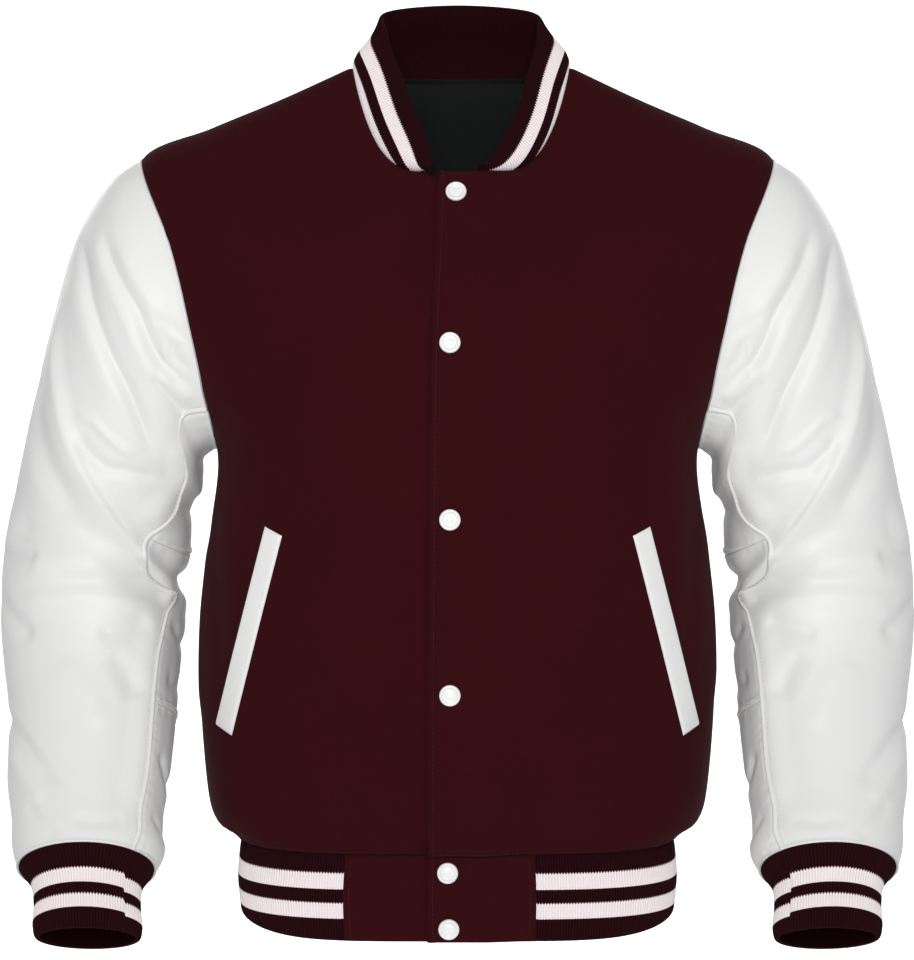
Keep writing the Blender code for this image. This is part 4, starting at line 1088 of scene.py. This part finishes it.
def wall_mesh(name, outer, inner, finishes, closed=False, outer_uv=None, inner_uv=None):
    """Closed wall between two grids that may differ in their columns and rows."""
    points = np.concatenate((outer.reshape(-1, 3), inner.reshape(-1, 3)))
    indices, uvs, real = [], [], []
    at = base = 0
    for grid, uv in ((outer, outer_uv), (inner, inner_uv)):
        rows, columns = grid.shape[:2]
        wide = columns + 1 if closed else columns
        indices.append(base + np.arange(rows * wide).reshape(rows, wide))
        real.append(at + (np.arange(rows)[:, None] * columns + np.arange(wide) % columns).ravel())
        uvs.append(np.zeros((rows * wide, 2)) if uv is None else uv.reshape(-1, 2))
        base, at = base + rows * wide, at + rows * columns
    real, uvs = np.concatenate(real), np.concatenate(uvs)
    places = points[real]
    out, back = indices
    rims = bridge(places, back[0], out[0]) + bridge(places, out[-1], back[-1])
    if not closed:
        rims += bridge(places, out[:, 0], back[:, 0]) + bridge(places, back[:, -1], out[:, -1])
    faces = quads(out).tolist() + quads(back)[:, ::-1].tolist() + [list(map(int, face)) for face in rims]
    mesh = bpy.data.meshes.new(name)
    mesh.from_pydata(points.tolist(), [], [[int(real[k]) for k in face] for face in faces])
    if outer_uv is not None:
        layer = mesh.uv_layers.new(name=CLOTH_UV)
        layer.data.foreach_set("uv", uvs[np.concatenate([np.array(f) for f in faces])].ravel())
    for finish in finishes:
        mesh.materials.append(finish)
    if len(finishes) > 1:
        inside = np.zeros(len(faces), np.int32)
        inside[len(quads(out)):len(quads(out)) + len(quads(back))] = 1
        mesh.polygons.foreach_set("material_index", inside)
    mesh.shade_smooth()
    mesh.set_sharp_from_angle(angle=math.radians(SHARP_DEGREES))
    return linked(name, mesh)


print("flat cut of the back: %.3f x %.3f m, %.3f m2" % flat_cut(back_grid))


# %% [markdown]
# ## Leather
# Soft white sleeve leather is a little glossy, with a fine pebble grain and slightly greyer where it has been
# handled. The grain is a field of small cells, and a wider noise varies colour and gloss. All of it reads the
# object's own coordinates, so the grain has one size everywhere.

# %% Leather finish
leather = Finish("white_leather", Roughness=0.45, Specular_IOR_Level=0.45)
tone = leather.noise(9.0, 3.0)
grain = leather.cells(1150.0)
wrinkle = leather.noise(140.0, 4.0, roughness=0.6)
leather.show(Base_Color=leather.blend(tone, (0.705, 0.705, 0.702), (0.775, 0.775, 0.770)),
             Roughness=0.36 + 0.14 * leather.noise(60.0) + 0.08 * grain)
leather.emboss(0.55 * grain + 0.45 * wrinkle, 0.00022, 0.7)
print(leather.material.name, len(leather.tree.nodes), "nodes")

# %% [markdown]
# ## Wool
# Melton wool is woven, shrunk and brushed until the weave disappears under a short nap. It shows as a dark,
# almost lightless colour with a faint mottle of fibres, and a pale fuzz where it turns away from the eye, which
# the sheen gives.

# %% Wool finish
WOOL_DARK, WOOL_LIGHT = (0.021, 0.0014, 0.0026), (0.042, 0.0043, 0.0061)

wool = Finish("maroon_wool", Roughness=0.95, Sheen_Weight=0.03, Sheen_Roughness=0.4, Specular_IOR_Level=0.06,
              Sheen_Tint=(0.8, 0.45, 0.48, 1.0))
fibres = wool.noise(1500.0, 3.0, roughness=0.7)
clumps = wool.noise(420.0, 3.0)
drift = wool.noise(14.0, 3.0)
mottle = (0.45 * fibres + 0.35 * clumps + 0.20 * drift).clamped()
wool.show(Base_Color=wool.blend(mottle, WOOL_DARK, WOOL_LIGHT), Roughness=0.86 + 0.12 * fibres)
wool.emboss(0.5 * fibres + 0.5 * clumps, 0.0007, 0.8)
print(wool.material.name, len(wool.tree.nodes), "nodes")

# %% [markdown]
# ## Rib knit
# Rib knit alternates columns of knit and purl stitches. The ribs themselves are real ridges in the mesh here,
# four columns of faces to a rib; the finish paints shade into the valleys between them and between the single
# stitches along each rib, raises those stitches as bumps, and adds the white stripes, which are colour alone.
# It reads the cloth map: ribs counted across, metres along.

# %% Rib finishes
# Maroon and stripe colours from the painted shade of a rib's valley to its lit crest, mixed with random fuzz.
KNIT_DARK, KNIT_LIGHT = (0.0098, 0.0010, 0.0018), (0.0225, 0.0026, 0.0044)
STRIPE_DARK, STRIPE_LIGHT = (0.72, 0.645, 0.66), (0.90, 0.82, 0.835)
STITCH_LENGTH = 0.0019
STRIPE_BLUR, STRIPE_TEETH = 0.0004, 0.0012      # a stripe begins stitch by stitch on each rib


def rib_finish(name, stripes):
    """Rib knit with white stripes between the given distances along the cloth."""
    rib = Finish(name, Roughness=0.92, Sheen_Weight=0.02, Sheen_Roughness=0.4, Specular_IOR_Level=0.06,
                 Sheen_Tint=(0.8, 0.5, 0.55, 1.0))
    across, along = rib.cloth_place()
    wave = (across * (2 * math.pi)).maths("COSINE")
    ridge = 0.5 + 0.5 * wave
    stitch = 0.5 + 0.5 * (along * (2 * math.pi / STITCH_LENGTH) + wave).sine()
    fuzz = rib.noise(1300.0, 3.0)
    # Painted shade: the colour darkens in the valleys between the ribs and between the stitches along each rib,
    # and the white stripes darken the same way; the fuzz is random tone.
    light = (0.55 * ridge + 0.20 * stitch + 0.40 * fuzz - 0.10).clamped()
    colour = rib.blend(light, KNIT_DARK, KNIT_LIGHT)
    white = 0.0
    toothed = along + STRIPE_TEETH * ridge * ridge
    for start, end in stripes:
        inside = ((toothed - start) / STRIPE_BLUR).clamped() * ((end - along) / STRIPE_BLUR).clamped()
        white = inside + white
    if stripes:
        colour = rib.blend(white, colour, rib.blend(light, STRIPE_DARK, STRIPE_LIGHT))
    rib.show(Base_Color=colour, Roughness=0.84 + 0.12 * fuzz)
    rib.emboss(0.6 * stitch * ridge + 0.4 * fuzz, 0.00035, 0.8)
    return rib.material


band_rib = rib_finish("band_rib", ((0.0152, 0.0281), (0.0396, 0.0522)))
cuff_rib = rib_finish("cuff_rib", ((0.0202, 0.0317), (0.0412, 0.0524)))
collar_rib = rib_finish("collar_rib", ((0.0158, 0.0268), (0.0362, 0.0528)))
plain_rib = rib_finish("plain_rib", ())
print("rib finishes for the band, the cuffs and the collar")

# %% Lining finish
lining = Finish("black_satin", Roughness=0.42, Specular_IOR_Level=0.4, Sheen_Weight=0.05)
weave = lining.noise(900.0, 2.0)
satin = lining.blend(lining.noise(18.0, 3.0), (0.0045, 0.0052, 0.0052), (0.0085, 0.0095, 0.0095))
lining.show(Base_Color=satin, Roughness=0.34 + 0.16 * weave)
lining.emboss(weave, 0.0001, 0.5)
print("finishes:", ", ".join(sorted(m.name for m in bpy.data.materials if m.users or m.use_nodes)))

# %% [markdown]
# ## The cloth pieces
# Each piece is a row of this table: its grid, its wall, the profile of its bottom, top, left and right edges as
# seen from outside, its finishes outside and inside, how it is held and its slot. Knit pieces are raised into
# ribs, and the small panels of the under sleeve pucker along their seams.

# %% Table of the pieces
Cloth = namedtuple("Cloth", "grid wall edges finishes held slot closed", defaults=(False,))

WOOL = (wool.material, lining.material), "hung", "wool"
LEATHER = (leather.material, lining.material), "hung", "leather"
cloths = {
    "front_left": Cloth(left_grid, WOOL_WALL, ("soft", "soft", "overlapping", "soft"), *WOOL),
    "front_right": Cloth(right_grid, WOOL_WALL, ("soft", "soft", "soft", "turned"), *WOOL),
    "back": Cloth(back_grid, WOOL_WALL, ("soft", "soft", "soft", "soft"), *WOOL),
    "hem_tab_left": Cloth(left_tab_grid, WOOL_WALL, ("turned", "soft", "overlapping", "soft"), *WOOL),
    "hem_tab_right": Cloth(right_tab_grid, WOOL_WALL, ("turned", "soft", "soft", "turned"), *WOOL),
    "hem_rib": Cloth(hem_rib_grid, KNIT_WALL, ("turned", "soft", "soft", "soft"),
                     (band_rib, plain_rib), "stretched", "knit"),
    "collar": Cloth(collar_grid, COLLAR_WALL, ("soft", "turned", "turned", "turned"),
                    (collar_rib, plain_rib), "stretched", "knit"),
}
cuff_angles = {}
for hand, side in (("left", 1), ("right", -1)):
    for length, top, start, end, edges in (
            ("top", True, 0.0, SLEEVE_END, ("piped", "piped", "corded", "corded")),
            ("under_upper", False, 0.0, ELBOW_SEAM, ("lapped", "piped", "tucked", "tucked")),
            ("under_middle", False, ELBOW_SEAM, WRIST_SEAM, ("lapped", "tucked", "tucked", "tucked")),
            ("under_lower", False, WRIST_SEAM, SLEEVE_END, ("piped", "tucked", "tucked", "tucked"))):
        grid = sleeve_grid(side, top, float(start), float(end))
        cloths["sleeve_" + length + "_" + hand] = Cloth(grid, LEATHER_WALL, edges, *LEATHER)
    grid, cuff_angles[hand] = cuff_grid(side)
    cloths["cuff_" + hand] = Cloth(grid, KNIT_WALL, ("turned", "soft"), (cuff_rib, plain_rib),
                                   "stretched", "knit", True)
print(len(cloths), "pieces of cloth,", sum(c.grid[..., 0].size for c in cloths.values()), "points")

# %% Heights of the outer faces
RIB_SHAPE = np.array((0.0, -0.25, -1.0, -0.25)) * RIB_DEPTH         # crest, shoulder, valley, shoulder
CUFF_GROOVE, CUFF_GROOVE_HALF = 0.0007, 2.0         # the cuff's seam: depth, and half width in degrees
PUCKER_PITCH, PUCKER_DEPTH, PUCKER_REACH, PUCKER_START = 0.0095, 0.0010, 0.013, 0.0022
PUCKER_SWAY, PUCKER_SWAY_LENGTH, PUCKER_CHANGE_LENGTH = 1.3, 0.037, 0.053     # what makes them uneven


def waves(run, length):
    return run * (2 * math.pi / length)


def puckers(grid):
    """Small uneven ripples that run out from the seams of a thin leather panel."""
    up, across = run_along(grid), run_along(grid, 1)
    total = np.zeros(grid.shape[:2])
    for run, distance in ((across, up), (across, up[-1:] - up), (up, across), (up, across[:, -1:] - across)):
        sway = PUCKER_SWAY * np.sin(waves(run, PUCKER_SWAY_LENGTH))
        ripple = 0.5 + 0.5 * np.sin(waves(run, PUCKER_PITCH) + sway)
        strength = 0.6 + 0.4 * np.sin(waves(run, PUCKER_CHANGE_LENGTH) + 1.0)
        near = (1 - smooth(distance / PUCKER_REACH)) * smooth(distance / PUCKER_START)
        total -= PUCKER_DEPTH * ripple * strength * near
    return total


def rib_heights(columns):
    return RIB_SHAPE[np.arange(columns) % RIB_COLUMNS][None, :]


def from_cuff_seam(name):
    """Degrees of a cuff's columns from its own seam."""
    return cuff_angles[name[len("cuff_"):]] - CUFF_SEAM_ANGLE


def raised(name, cloth):
    """Heights of a piece's outer face: its edges, ribs, puckers and the groove of a cuff's seam."""
    height = edge_heights(cloth.grid, cloth.edges, cloth.closed)
    if cloth.slot == "knit":
        height = height + rib_heights(cloth.grid.shape[1])
    if "_under_" in name:
        height = height + puckers(cloth.grid)
    if cloth.closed:
        height = height - CUFF_GROOVE * np.clip(1 - np.abs(from_cuff_seam(name)) / CUFF_GROOVE_HALF, 0.0, 1.0)
    return height


def cloth_uv(name, cloth):
    """Ribs across and metres down from the top. A tube repeats its first column, and steps at its seam."""
    up = run_along(cloth.grid)
    down = up[-1:] - up
    if cloth.closed:
        from_seam = from_cuff_seam(name)
        shift = np.where(from_seam < 0, 1 + from_seam / (CUFF_SEAM_ANGLE - UNDER_BACK_SEAM), 0.0)
        down = down - shift * CUFF_SEAM_STEP
        down = np.concatenate((down, down[:, :1]), axis=1)
    return np.stack((np.broadcast_to(np.arange(down.shape[1]) / RIB_COLUMNS, down.shape), down), axis=-1)


directions = share_seams(cloths)
print("shared seams of", len(directions), "pieces")

# %% Make the cloth
COLLAR_INNER_RIBS = 0.5         # how much of the ribs' depth shows inside the collar
outers = {}
for name, cloth in cloths.items():
    drawn_back = cloth.grid + rim_steps(cloth.grid, cloth.closed) * SEAM_GAP / 2
    outers[name] = drawn_back + directions[name] * raised(name, cloth)[..., None]
    inner = drawn_back - directions[name] * cloth.wall
    rows = thinned(run_along(cloth.grid[:, cloth.grid.shape[1] // 2]))
    columns = thinned(run_along(cloth.grid[len(cloth.grid) // 2]))
    if name == "collar":
        inner = inner - directions[name] * rib_heights(cloth.grid.shape[1])[..., None] * COLLAR_INNER_RIBS
        columns = list(range(cloth.grid.shape[1]))
    inner = inner[np.ix_(rows, columns[:-1] if cloth.closed else columns)]
    uv = inner_uv = None
    if cloth.slot == "knit":
        uv = cloth_uv(name, cloth)
        inner_uv = uv[np.ix_(rows, columns[:-1] + [uv.shape[1] - 1])]
    made = wall_mesh(name + "_cloth", outers[name], inner, cloth.finishes, cloth.closed, uv, inner_uv)
    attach(made, "root")
    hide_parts(name)
    width, length, area = flat_cut(cloth.grid, cloth.closed)
    print("%-26s flat %.3f x %.3f m, %.3f m2, %d faces" % (name, width, length, area, len(made.data.polygons)))

# %% Back lining
every_third = slice(None, None, 3), slice(None, None, 3)
inside = back_grid[every_third] - grid_normals(back_grid)[every_third] * (WOOL_WALL + LINING_CLEARANCE)
lining_grid = inside + rim_steps(inside) * LINING_MARGIN
made = wall_mesh("lining_back_cloth", lining_grid, lining_grid - grid_normals(inside) * LINING_WALL,
                 (lining.material,))
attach(made, "root")
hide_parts("lining_back")
width, length, area = flat_cut(lining_grid)
print("lining", len(made.data.polygons), "faces")

# %% [markdown]
# ## Pocket welts
# A welt is a narrow doubled strip of leather that closes a slanting pocket mouth. It is laid on the front from
# the front's own points, and its edges are turned under.

# %% Places on the fronts
ROUGH_HALF_WIDTH = 0.22
NEWTON_STEPS, STATION_STEP, TURN_STEP = 14, 0.01, 0.002
STATION_LIMIT, TURN_LIMIT = 0.5, 0.1            # the longest move in one step


def front_places_at(x, z, lapped=False):
    """Rows, stations and turns of the front's points seen at these x and z, found by Newton's steps."""
    rows = BODY_ROWS if np.mean(z) > BODY_ROWS[0][2] else BAND_ROWS
    stations = np.interp(z, [r[2] for r in rows], range(len(rows)))
    turns = x / ROUGH_HALF_WIDTH
    for _ in range(NEWTON_STEPS):
        here = on_body(rows, stations, turns, lapped)
        up = (on_body(rows, stations + STATION_STEP, turns, lapped) - here) / STATION_STEP
        along = (on_body(rows, stations, turns + TURN_STEP, lapped) - here) / TURN_STEP
        dx, dz = x - here[..., 0], z - here[..., 2]
        scale = along[..., 0] * up[..., 2] - up[..., 0] * along[..., 2]
        turn_move = (dx * up[..., 2] - dz * up[..., 0]) / scale
        station_move = (dz * along[..., 0] - dx * along[..., 2]) / scale
        turns = turns + np.clip(turn_move, -TURN_LIMIT, TURN_LIMIT)
        stations = np.clip(stations + np.clip(station_move, -STATION_LIMIT, STATION_LIMIT), 0, len(rows) - 1)
    return rows, stations, turns


print("the pocket begins at station and turn", *(v.round(2) for v in front_places_at(*np.array(WELT_TOP))[1:]))

# %% Welts
WELT_SLANT = 0.20       # how much further down one long edge lies, for each metre across
WELT_STEPS, WELT_FLAT_LENGTH = 60, 0.1694
WELT_OFFSETS = np.array((0.0, 0.0005, 0.0012, 0.0022, 0.0048, 0.00775))     # half way across it

top, bottom = np.array(WELT_TOP), np.array(WELT_BOTTOM)
length = float(np.linalg.norm(bottom - top))
along = (bottom - top) / length
across = np.array((-along[1], along[0]))
downs = spaced(length, WELT_STEPS)[::-1, None, None]
offsets = np.concatenate((WELT_OFFSETS[:-1], WELT_WIDTH - WELT_OFFSETS[::-1])) - WELT_WIDTH / 2
offsets = offsets[None, :, None]
places = top + along * (downs - WELT_SLANT * offsets) + across * offsets
welt_outlines = {}
for hand, side in (("left", 1), ("right", -1)):
    rows, stations, turns = front_places_at(places[..., 0] * side, places[..., 1])
    surface = faced(on_body(rows, stations, turns), side)
    normals = grid_normals(surface)
    under = surface + normals * WELT_STANDOFF
    height = edge_heights(surface, ("turned",) * 4) + WELT_WALL + WELT_STANDOFF
    outer = surface + normals * height[..., None]
    made = wall_mesh("pocket_welt_" + hand + "_cloth", outer, under, (leather.material,))
    welt_outlines[hand] = outer
    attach(made, "root")
    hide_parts("pocket_welt_" + hand)
    "front_" + hand + "_cloth"
    print("welt", hand, len(made.data.polygons), "faces")

# %% [markdown]
# ## Snap caps
# Each cap is a pressed disc: a round rim about a shallow dish. It is a profile turned about its axis, and
# stands square to the cloth below it.

# %% Cap finish and profile
snap_gloss = Finish("snap_gloss", Roughness=0.22, Coat_Weight=0.4, Coat_Roughness=0.08)
enamel = snap_gloss.blend(snap_gloss.noise(120.0), (0.76, 0.755, 0.75), (0.82, 0.815, 0.81))
snap_gloss.show(Base_Color=enamel, Roughness=0.18 + 0.10 * snap_gloss.noise(900.0))
snap_gloss.emboss(snap_gloss.noise(500.0), 0.00004, 0.5)
SNAP_PROFILE = (    # radius and height
    (0.0, 0.0022), (0.0016, 0.0021), (0.0030, 0.0018), (0.0040, 0.0014), (0.0050, 0.0013), (0.0057, 0.0019),
    (0.0063, 0.0028), (0.0070, 0.0032), (0.0076, 0.0031), (0.0082, 0.0025), (0.0085, 0.0016), (0.0085, 0.0006),
    (0.0083, 0.0002), (0.0, 0.0))
SNAP_STANDOFF, SNAP_SIDES, SNAP_SHARP_DEGREES = 0.0004, 56, 50
print("cap", 2 * max(radius for radius, _ in SNAP_PROFILE), "m wide")


# %% Caps
def turned_faces(rings, sides):
    """Faces of a profile turned about its axis, with single points at the top and the bottom."""
    start = [1 + r * sides for r in range(rings)]
    faces = []
    for k in range(sides):
        after = (k + 1) % sides
        faces.append((0, start[0] + k, start[0] + after))
        faces += [(start[r] + k, start[r + 1] + k, start[r + 1] + after, start[r] + after)
                  for r in range(rings - 1)]
        faces.append((start[-1] + after, start[-1] + k, 1 + rings * sides))
    return faces


cap_faces = turned_faces(len(SNAP_PROFILE) - 2, SNAP_SIDES)
turned = np.linspace(0, 2 * math.pi, SNAP_SIDES, endpoint=False)
for number, (x, z) in enumerate(SNAPS, start=1):
    rows, station, turn = front_places_at(np.array(x), np.array(z), lapped=True)
    seat = on_body(rows, station, turn, True)
    normal = ring_normals(rows, station, turn)
    sideways = units(np.cross((0.0, 0.0, 1.0), normal))
    upwards = np.cross(normal, sideways)
    centre = seat + normal * SNAP_STANDOFF
    points = [centre + normal * SNAP_PROFILE[0][1]]
    for radius, height in SNAP_PROFILE[1:-1]:
        points += [centre + normal * height + radius * (sideways * math.cos(a) + upwards * math.sin(a))
                   for a in turned]
    points.append(centre)
    mesh = bpy.data.meshes.new("snap_%d_cap" % number)
    mesh.from_pydata([tuple(p) for p in points], [], cap_faces)
    mesh.materials.append(snap_gloss.material)
    mesh.shade_smooth()
    mesh.set_sharp_from_angle(angle=math.radians(SNAP_SHARP_DEGREES))
    cap = linked(mesh.name, mesh)
    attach(cap, "root")
    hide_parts("snap_%d" % number)
print(len(SNAPS), "caps of", len(cap_faces), "faces")

# %% [markdown]
# ## Sewing
# Machine sewing is one short stitch after another at an even pace, which Geometry Nodes lay along a line: the
# line becomes a curve, the curve is resampled at the stitch length, and each point carries one bent stitch that
# lies along the curve and stands off the cloth. Each line holds its own outward directions.

# %% One stitch
STITCH_SHAPE = 0.0028, 0.00055, 0.0005          # length, width and height


def stitch_shape(length, width, height):
    """A bent thread whose two ends dive into the cloth, along +X with +Z outwards."""
    rings, sides = 5, 5
    sunk, thin = 0.35, 0.55             # share of the height below the cloth, and thickness at the ends
    points, faces = [], []
    for r in range(rings):
        share = r / (rings - 1)
        rise = height * math.sin(math.pi * share) - height * sunk
        thick = width / 2 * (thin + (1 - thin) * math.sin(math.pi * share))
        for s in range(sides):
            turn = 2 * math.pi * s / sides
            points.append((length * (share - 0.5), thick * math.sin(turn), rise + thick * math.cos(turn)))
    for r in range(rings - 1):
        for s in range(sides):
            after = (s + 1) % sides
            faces.append((r * sides + s, r * sides + after, (r + 1) * sides + after, (r + 1) * sides + s))
    faces.append(tuple(range(sides))[::-1])
    faces.append(tuple((rings - 1) * sides + s for s in range(sides)))
    mesh = bpy.data.meshes.new("stitch")
    mesh.from_pydata(points, [], faces)
    mesh.shade_smooth()
    return linked("stitch", mesh)


print("a stitch is", STITCH_SHAPE[0], "m long")


# %% The sewing tree
SEWING_SEED, UNEVENNESS = 7, 0.06       # the stitches differ a little in size


def sewing_tree():
    """Lays a stitch object along the edges of a mesh that carries an outward direction at each point."""
    tree = bpy.data.node_groups.new("sewing", "GeometryNodeTree")
    for name, kind in (("Line", "Geometry"), ("Stitch", "Object"), ("Pace", "Float"), ("Unevenness", "Float"),
                       ("Thread", "Material")):
        tree.interface.new_socket(name, in_out="INPUT", socket_type="NodeSocket" + kind)
    tree.interface.new_socket("Sewing", in_out="OUTPUT", socket_type="NodeSocketGeometry")

    def add(kind, links=(), **settings):
        made = tree.nodes.new(kind)
        for setting, value in settings.items():
            setattr(made, setting, value)
        for socket, source in links:
            if isinstance(source, (int, float, str, tuple)):
                made.inputs[socket].default_value = source
            else:
                tree.links.new(source, made.inputs[socket])
        return made

    entry = add("NodeGroupInput").outputs
    curve = add("GeometryNodeMeshToCurve", [("Mesh", entry["Line"])])
    even = add("GeometryNodeResampleCurve", [("Curve", curve.outputs[0]), ("Length", entry["Pace"])],
               mode="LENGTH")
    outward = add("GeometryNodeInputNamedAttribute", [("Name", "outward")], data_type="FLOAT_VECTOR")
    tangent = add("GeometryNodeInputTangent")
    upright = add("FunctionNodeAlignRotationToVector", [("Vector", outward.outputs["Attribute"])], axis="Z")
    along = add("FunctionNodeAlignRotationToVector",
                [("Rotation", upright.outputs[0]), ("Vector", tangent.outputs[0])], axis="X", pivot_axis="Z")
    shape = add("GeometryNodeObjectInfo", [("Object", entry["Stitch"])])
    least = add("ShaderNodeMath", [(0, 1.0), (1, entry["Unevenness"])], operation="SUBTRACT")
    most = add("ShaderNodeMath", [(0, 1.0), (1, entry["Unevenness"])], operation="ADD")
    size = add("FunctionNodeRandomValue", [(2, least.outputs[0]), (3, most.outputs[0]), ("Seed", SEWING_SEED)],
               data_type="FLOAT")
    laid = add("GeometryNodeInstanceOnPoints",
               [("Points", even.outputs[0]), ("Instance", shape.outputs["Geometry"]),
                ("Rotation", along.outputs[0]), ("Scale", size.outputs[1])])
    real = add("GeometryNodeRealizeInstances", [(0, laid.outputs[0])])
    coloured = add("GeometryNodeSetMaterial", [("Geometry", real.outputs[0]), ("Material", entry["Thread"])])
    add("NodeGroupOutput", [("Sewing", coloured.outputs[0])])
    return tree


SEWING = sewing_tree()
print("sewing tree of", len(SEWING.nodes), "nodes")


# %% Sewing along lines
PACE = 0.0036           # from one stitch to the next


def sew(name, lines, finish):
    """Sews along lines, which are pairs of points and outward directions, and makes one plain mesh."""
    mesh = bpy.data.meshes.new(name)
    points, edges, outward = [], [], []
    for line, directions in lines:
        edges += [(len(points) + k, len(points) + k + 1) for k in range(len(line) - 1)]
        points += line.tolist()
        outward += directions.tolist()
    mesh.from_pydata(points, edges, [])
    held = mesh.attributes.new("outward", "FLOAT_VECTOR", "POINT")
    held.data.foreach_set("vector", np.array(outward).ravel())
    made = linked(name, mesh)
    stitch = stitch_shape(*STITCH_SHAPE)
    modifier = made.modifiers.new("sewing", "NODES")
    modifier.node_group = SEWING
    values = {"Stitch": stitch, "Pace": PACE, "Unevenness": UNEVENNESS, "Thread": finish}
    for item in SEWING.interface.items_tree:
        if item.in_out == "INPUT" and item.name in values:
            modifier[item.identifier] = values[item.name]
    bpy.context.view_layer.update()
    plain = bpy.data.meshes.new_from_object(made.evaluated_get(bpy.context.evaluated_depsgraph_get()))
    made.modifiers.remove(modifier)
    made.data = plain
    bpy.data.meshes.remove(mesh)
    bpy.data.objects.remove(stitch)
    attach(made, "root")
    print("%-22s %d lines, %d faces" % (name, len(lines), len(plain.polygons)))


# %% [markdown]
# ## Thread
# White thread on leather sinks in and shows as a row of small bright dashes with a shadow beside each. Maroon
# thread on wool nearly disappears, as it should.

# %% Thread finishes
def thread_finish(name, dark, light):
    thread = Finish(name, Roughness=0.6, Specular_IOR_Level=0.3)
    twist = thread.noise(2600.0)
    thread.show(Base_Color=thread.blend(twist, dark, light), Roughness=0.55 + 0.2 * twist)
    thread.emboss(twist, 0.00008, 0.6)
    return thread.material


white_thread = thread_finish("white_thread", (0.76, 0.755, 0.74), (0.86, 0.855, 0.84))
maroon_thread = thread_finish("maroon_thread", (0.030, 0.0030, 0.0046), (0.052, 0.0060, 0.0088))
print(white_thread.name, "and", maroon_thread.name)


# %% Lines of sewing
def line_beside(name, edge, inset, lift, ends):
    """Line on a piece's outer face at an inset from an edge, without its ends, and its outward directions."""
    outer, way = outers[name], directions[name]
    if edge in ("left", "right"):
        outer, way = outer.transpose(1, 0, 2), way.transpose(1, 0, 2)
    if edge in ("top", "right"):
        outer, way = outer[::-1], way[::-1]
    run = run_along(outer)
    row = np.clip((run < inset).sum(0), 1, len(outer) - 1)
    columns = np.arange(outer.shape[1])
    low, high = run[row - 1, columns], run[row, columns]
    share = np.clip((inset - low) / np.maximum(high - low, 1e-9), 0, 1)[:, None]
    line = outer[row - 1, columns] * (1 - share) + outer[row, columns] * share
    way = units(way[row - 1, columns] * (1 - share) + way[row, columns] * share)
    return (line + way * lift)[ends:-ends], way[ends:-ends]


LEATHER_LIFT, WELT_LIFT, WOOL_LIFT = 0.00010, 0.00005, 0.00008       # of the thread off the cloth
TOP_INSETS, CROSS_INSET, CLOSURE_INSET, WOOL_INSET = (0.0036, 0.0078), 0.0034, 0.0062, 0.0050
WELT_AROUND = ((slice(3, -3), 3), (-4, slice(3, -3)), (slice(-4, 2, -1), -4), (3, slice(-4, 2, -1)))

for hand in ("left", "right"):
    top, upper, middle, lower = ("sleeve_%s_%s" % (length, hand) for length in
                                 ("top", "under_upper", "under_middle", "under_lower"))
    lines = [line_beside(top, edge, inset, LEATHER_LIFT, 4)
             for edge in ("left", "right") for inset in TOP_INSETS]
    lines += [line_beside(piece, edge, CROSS_INSET, LEATHER_LIFT, 5) for piece, edge in
              ((upper, "bottom"), (middle, "bottom"), (middle, "top"), (lower, "top"))]
    sew("sleeve_sewing_" + hand, lines, white_thread)
    line, way = (np.concatenate([grid[index] for index in WELT_AROUND])
                 for grid in (welt_outlines[hand], grid_normals(welt_outlines[hand])))
    sew("welt_sewing_" + hand, [(line + way * WELT_LIFT, way)], white_thread)

wool_lines = [line_beside(name, edge, inset, WOOL_LIFT, ends) for name, edge, inset, ends in (
    ("front_left", "left", CLOSURE_INSET, 5), ("hem_tab_left", "left", CLOSURE_INSET, 5),
    ("hem_tab_left", "right", WOOL_INSET, 5), ("hem_tab_right", "left", WOOL_INSET, 5),
    ("front_left", "bottom", WOOL_INSET, 6), ("front_right", "bottom", WOOL_INSET, 6),
    ("back", "bottom", WOOL_INSET, 6))]
sew("body_sewing", wool_lines, maroon_thread)

# %% [markdown]
# ## Finish
# Last, the scene is brought up to date. The dressed jacket may stand only a little proud of the solids.

# %% Finish
bpy.context.view_layer.update()
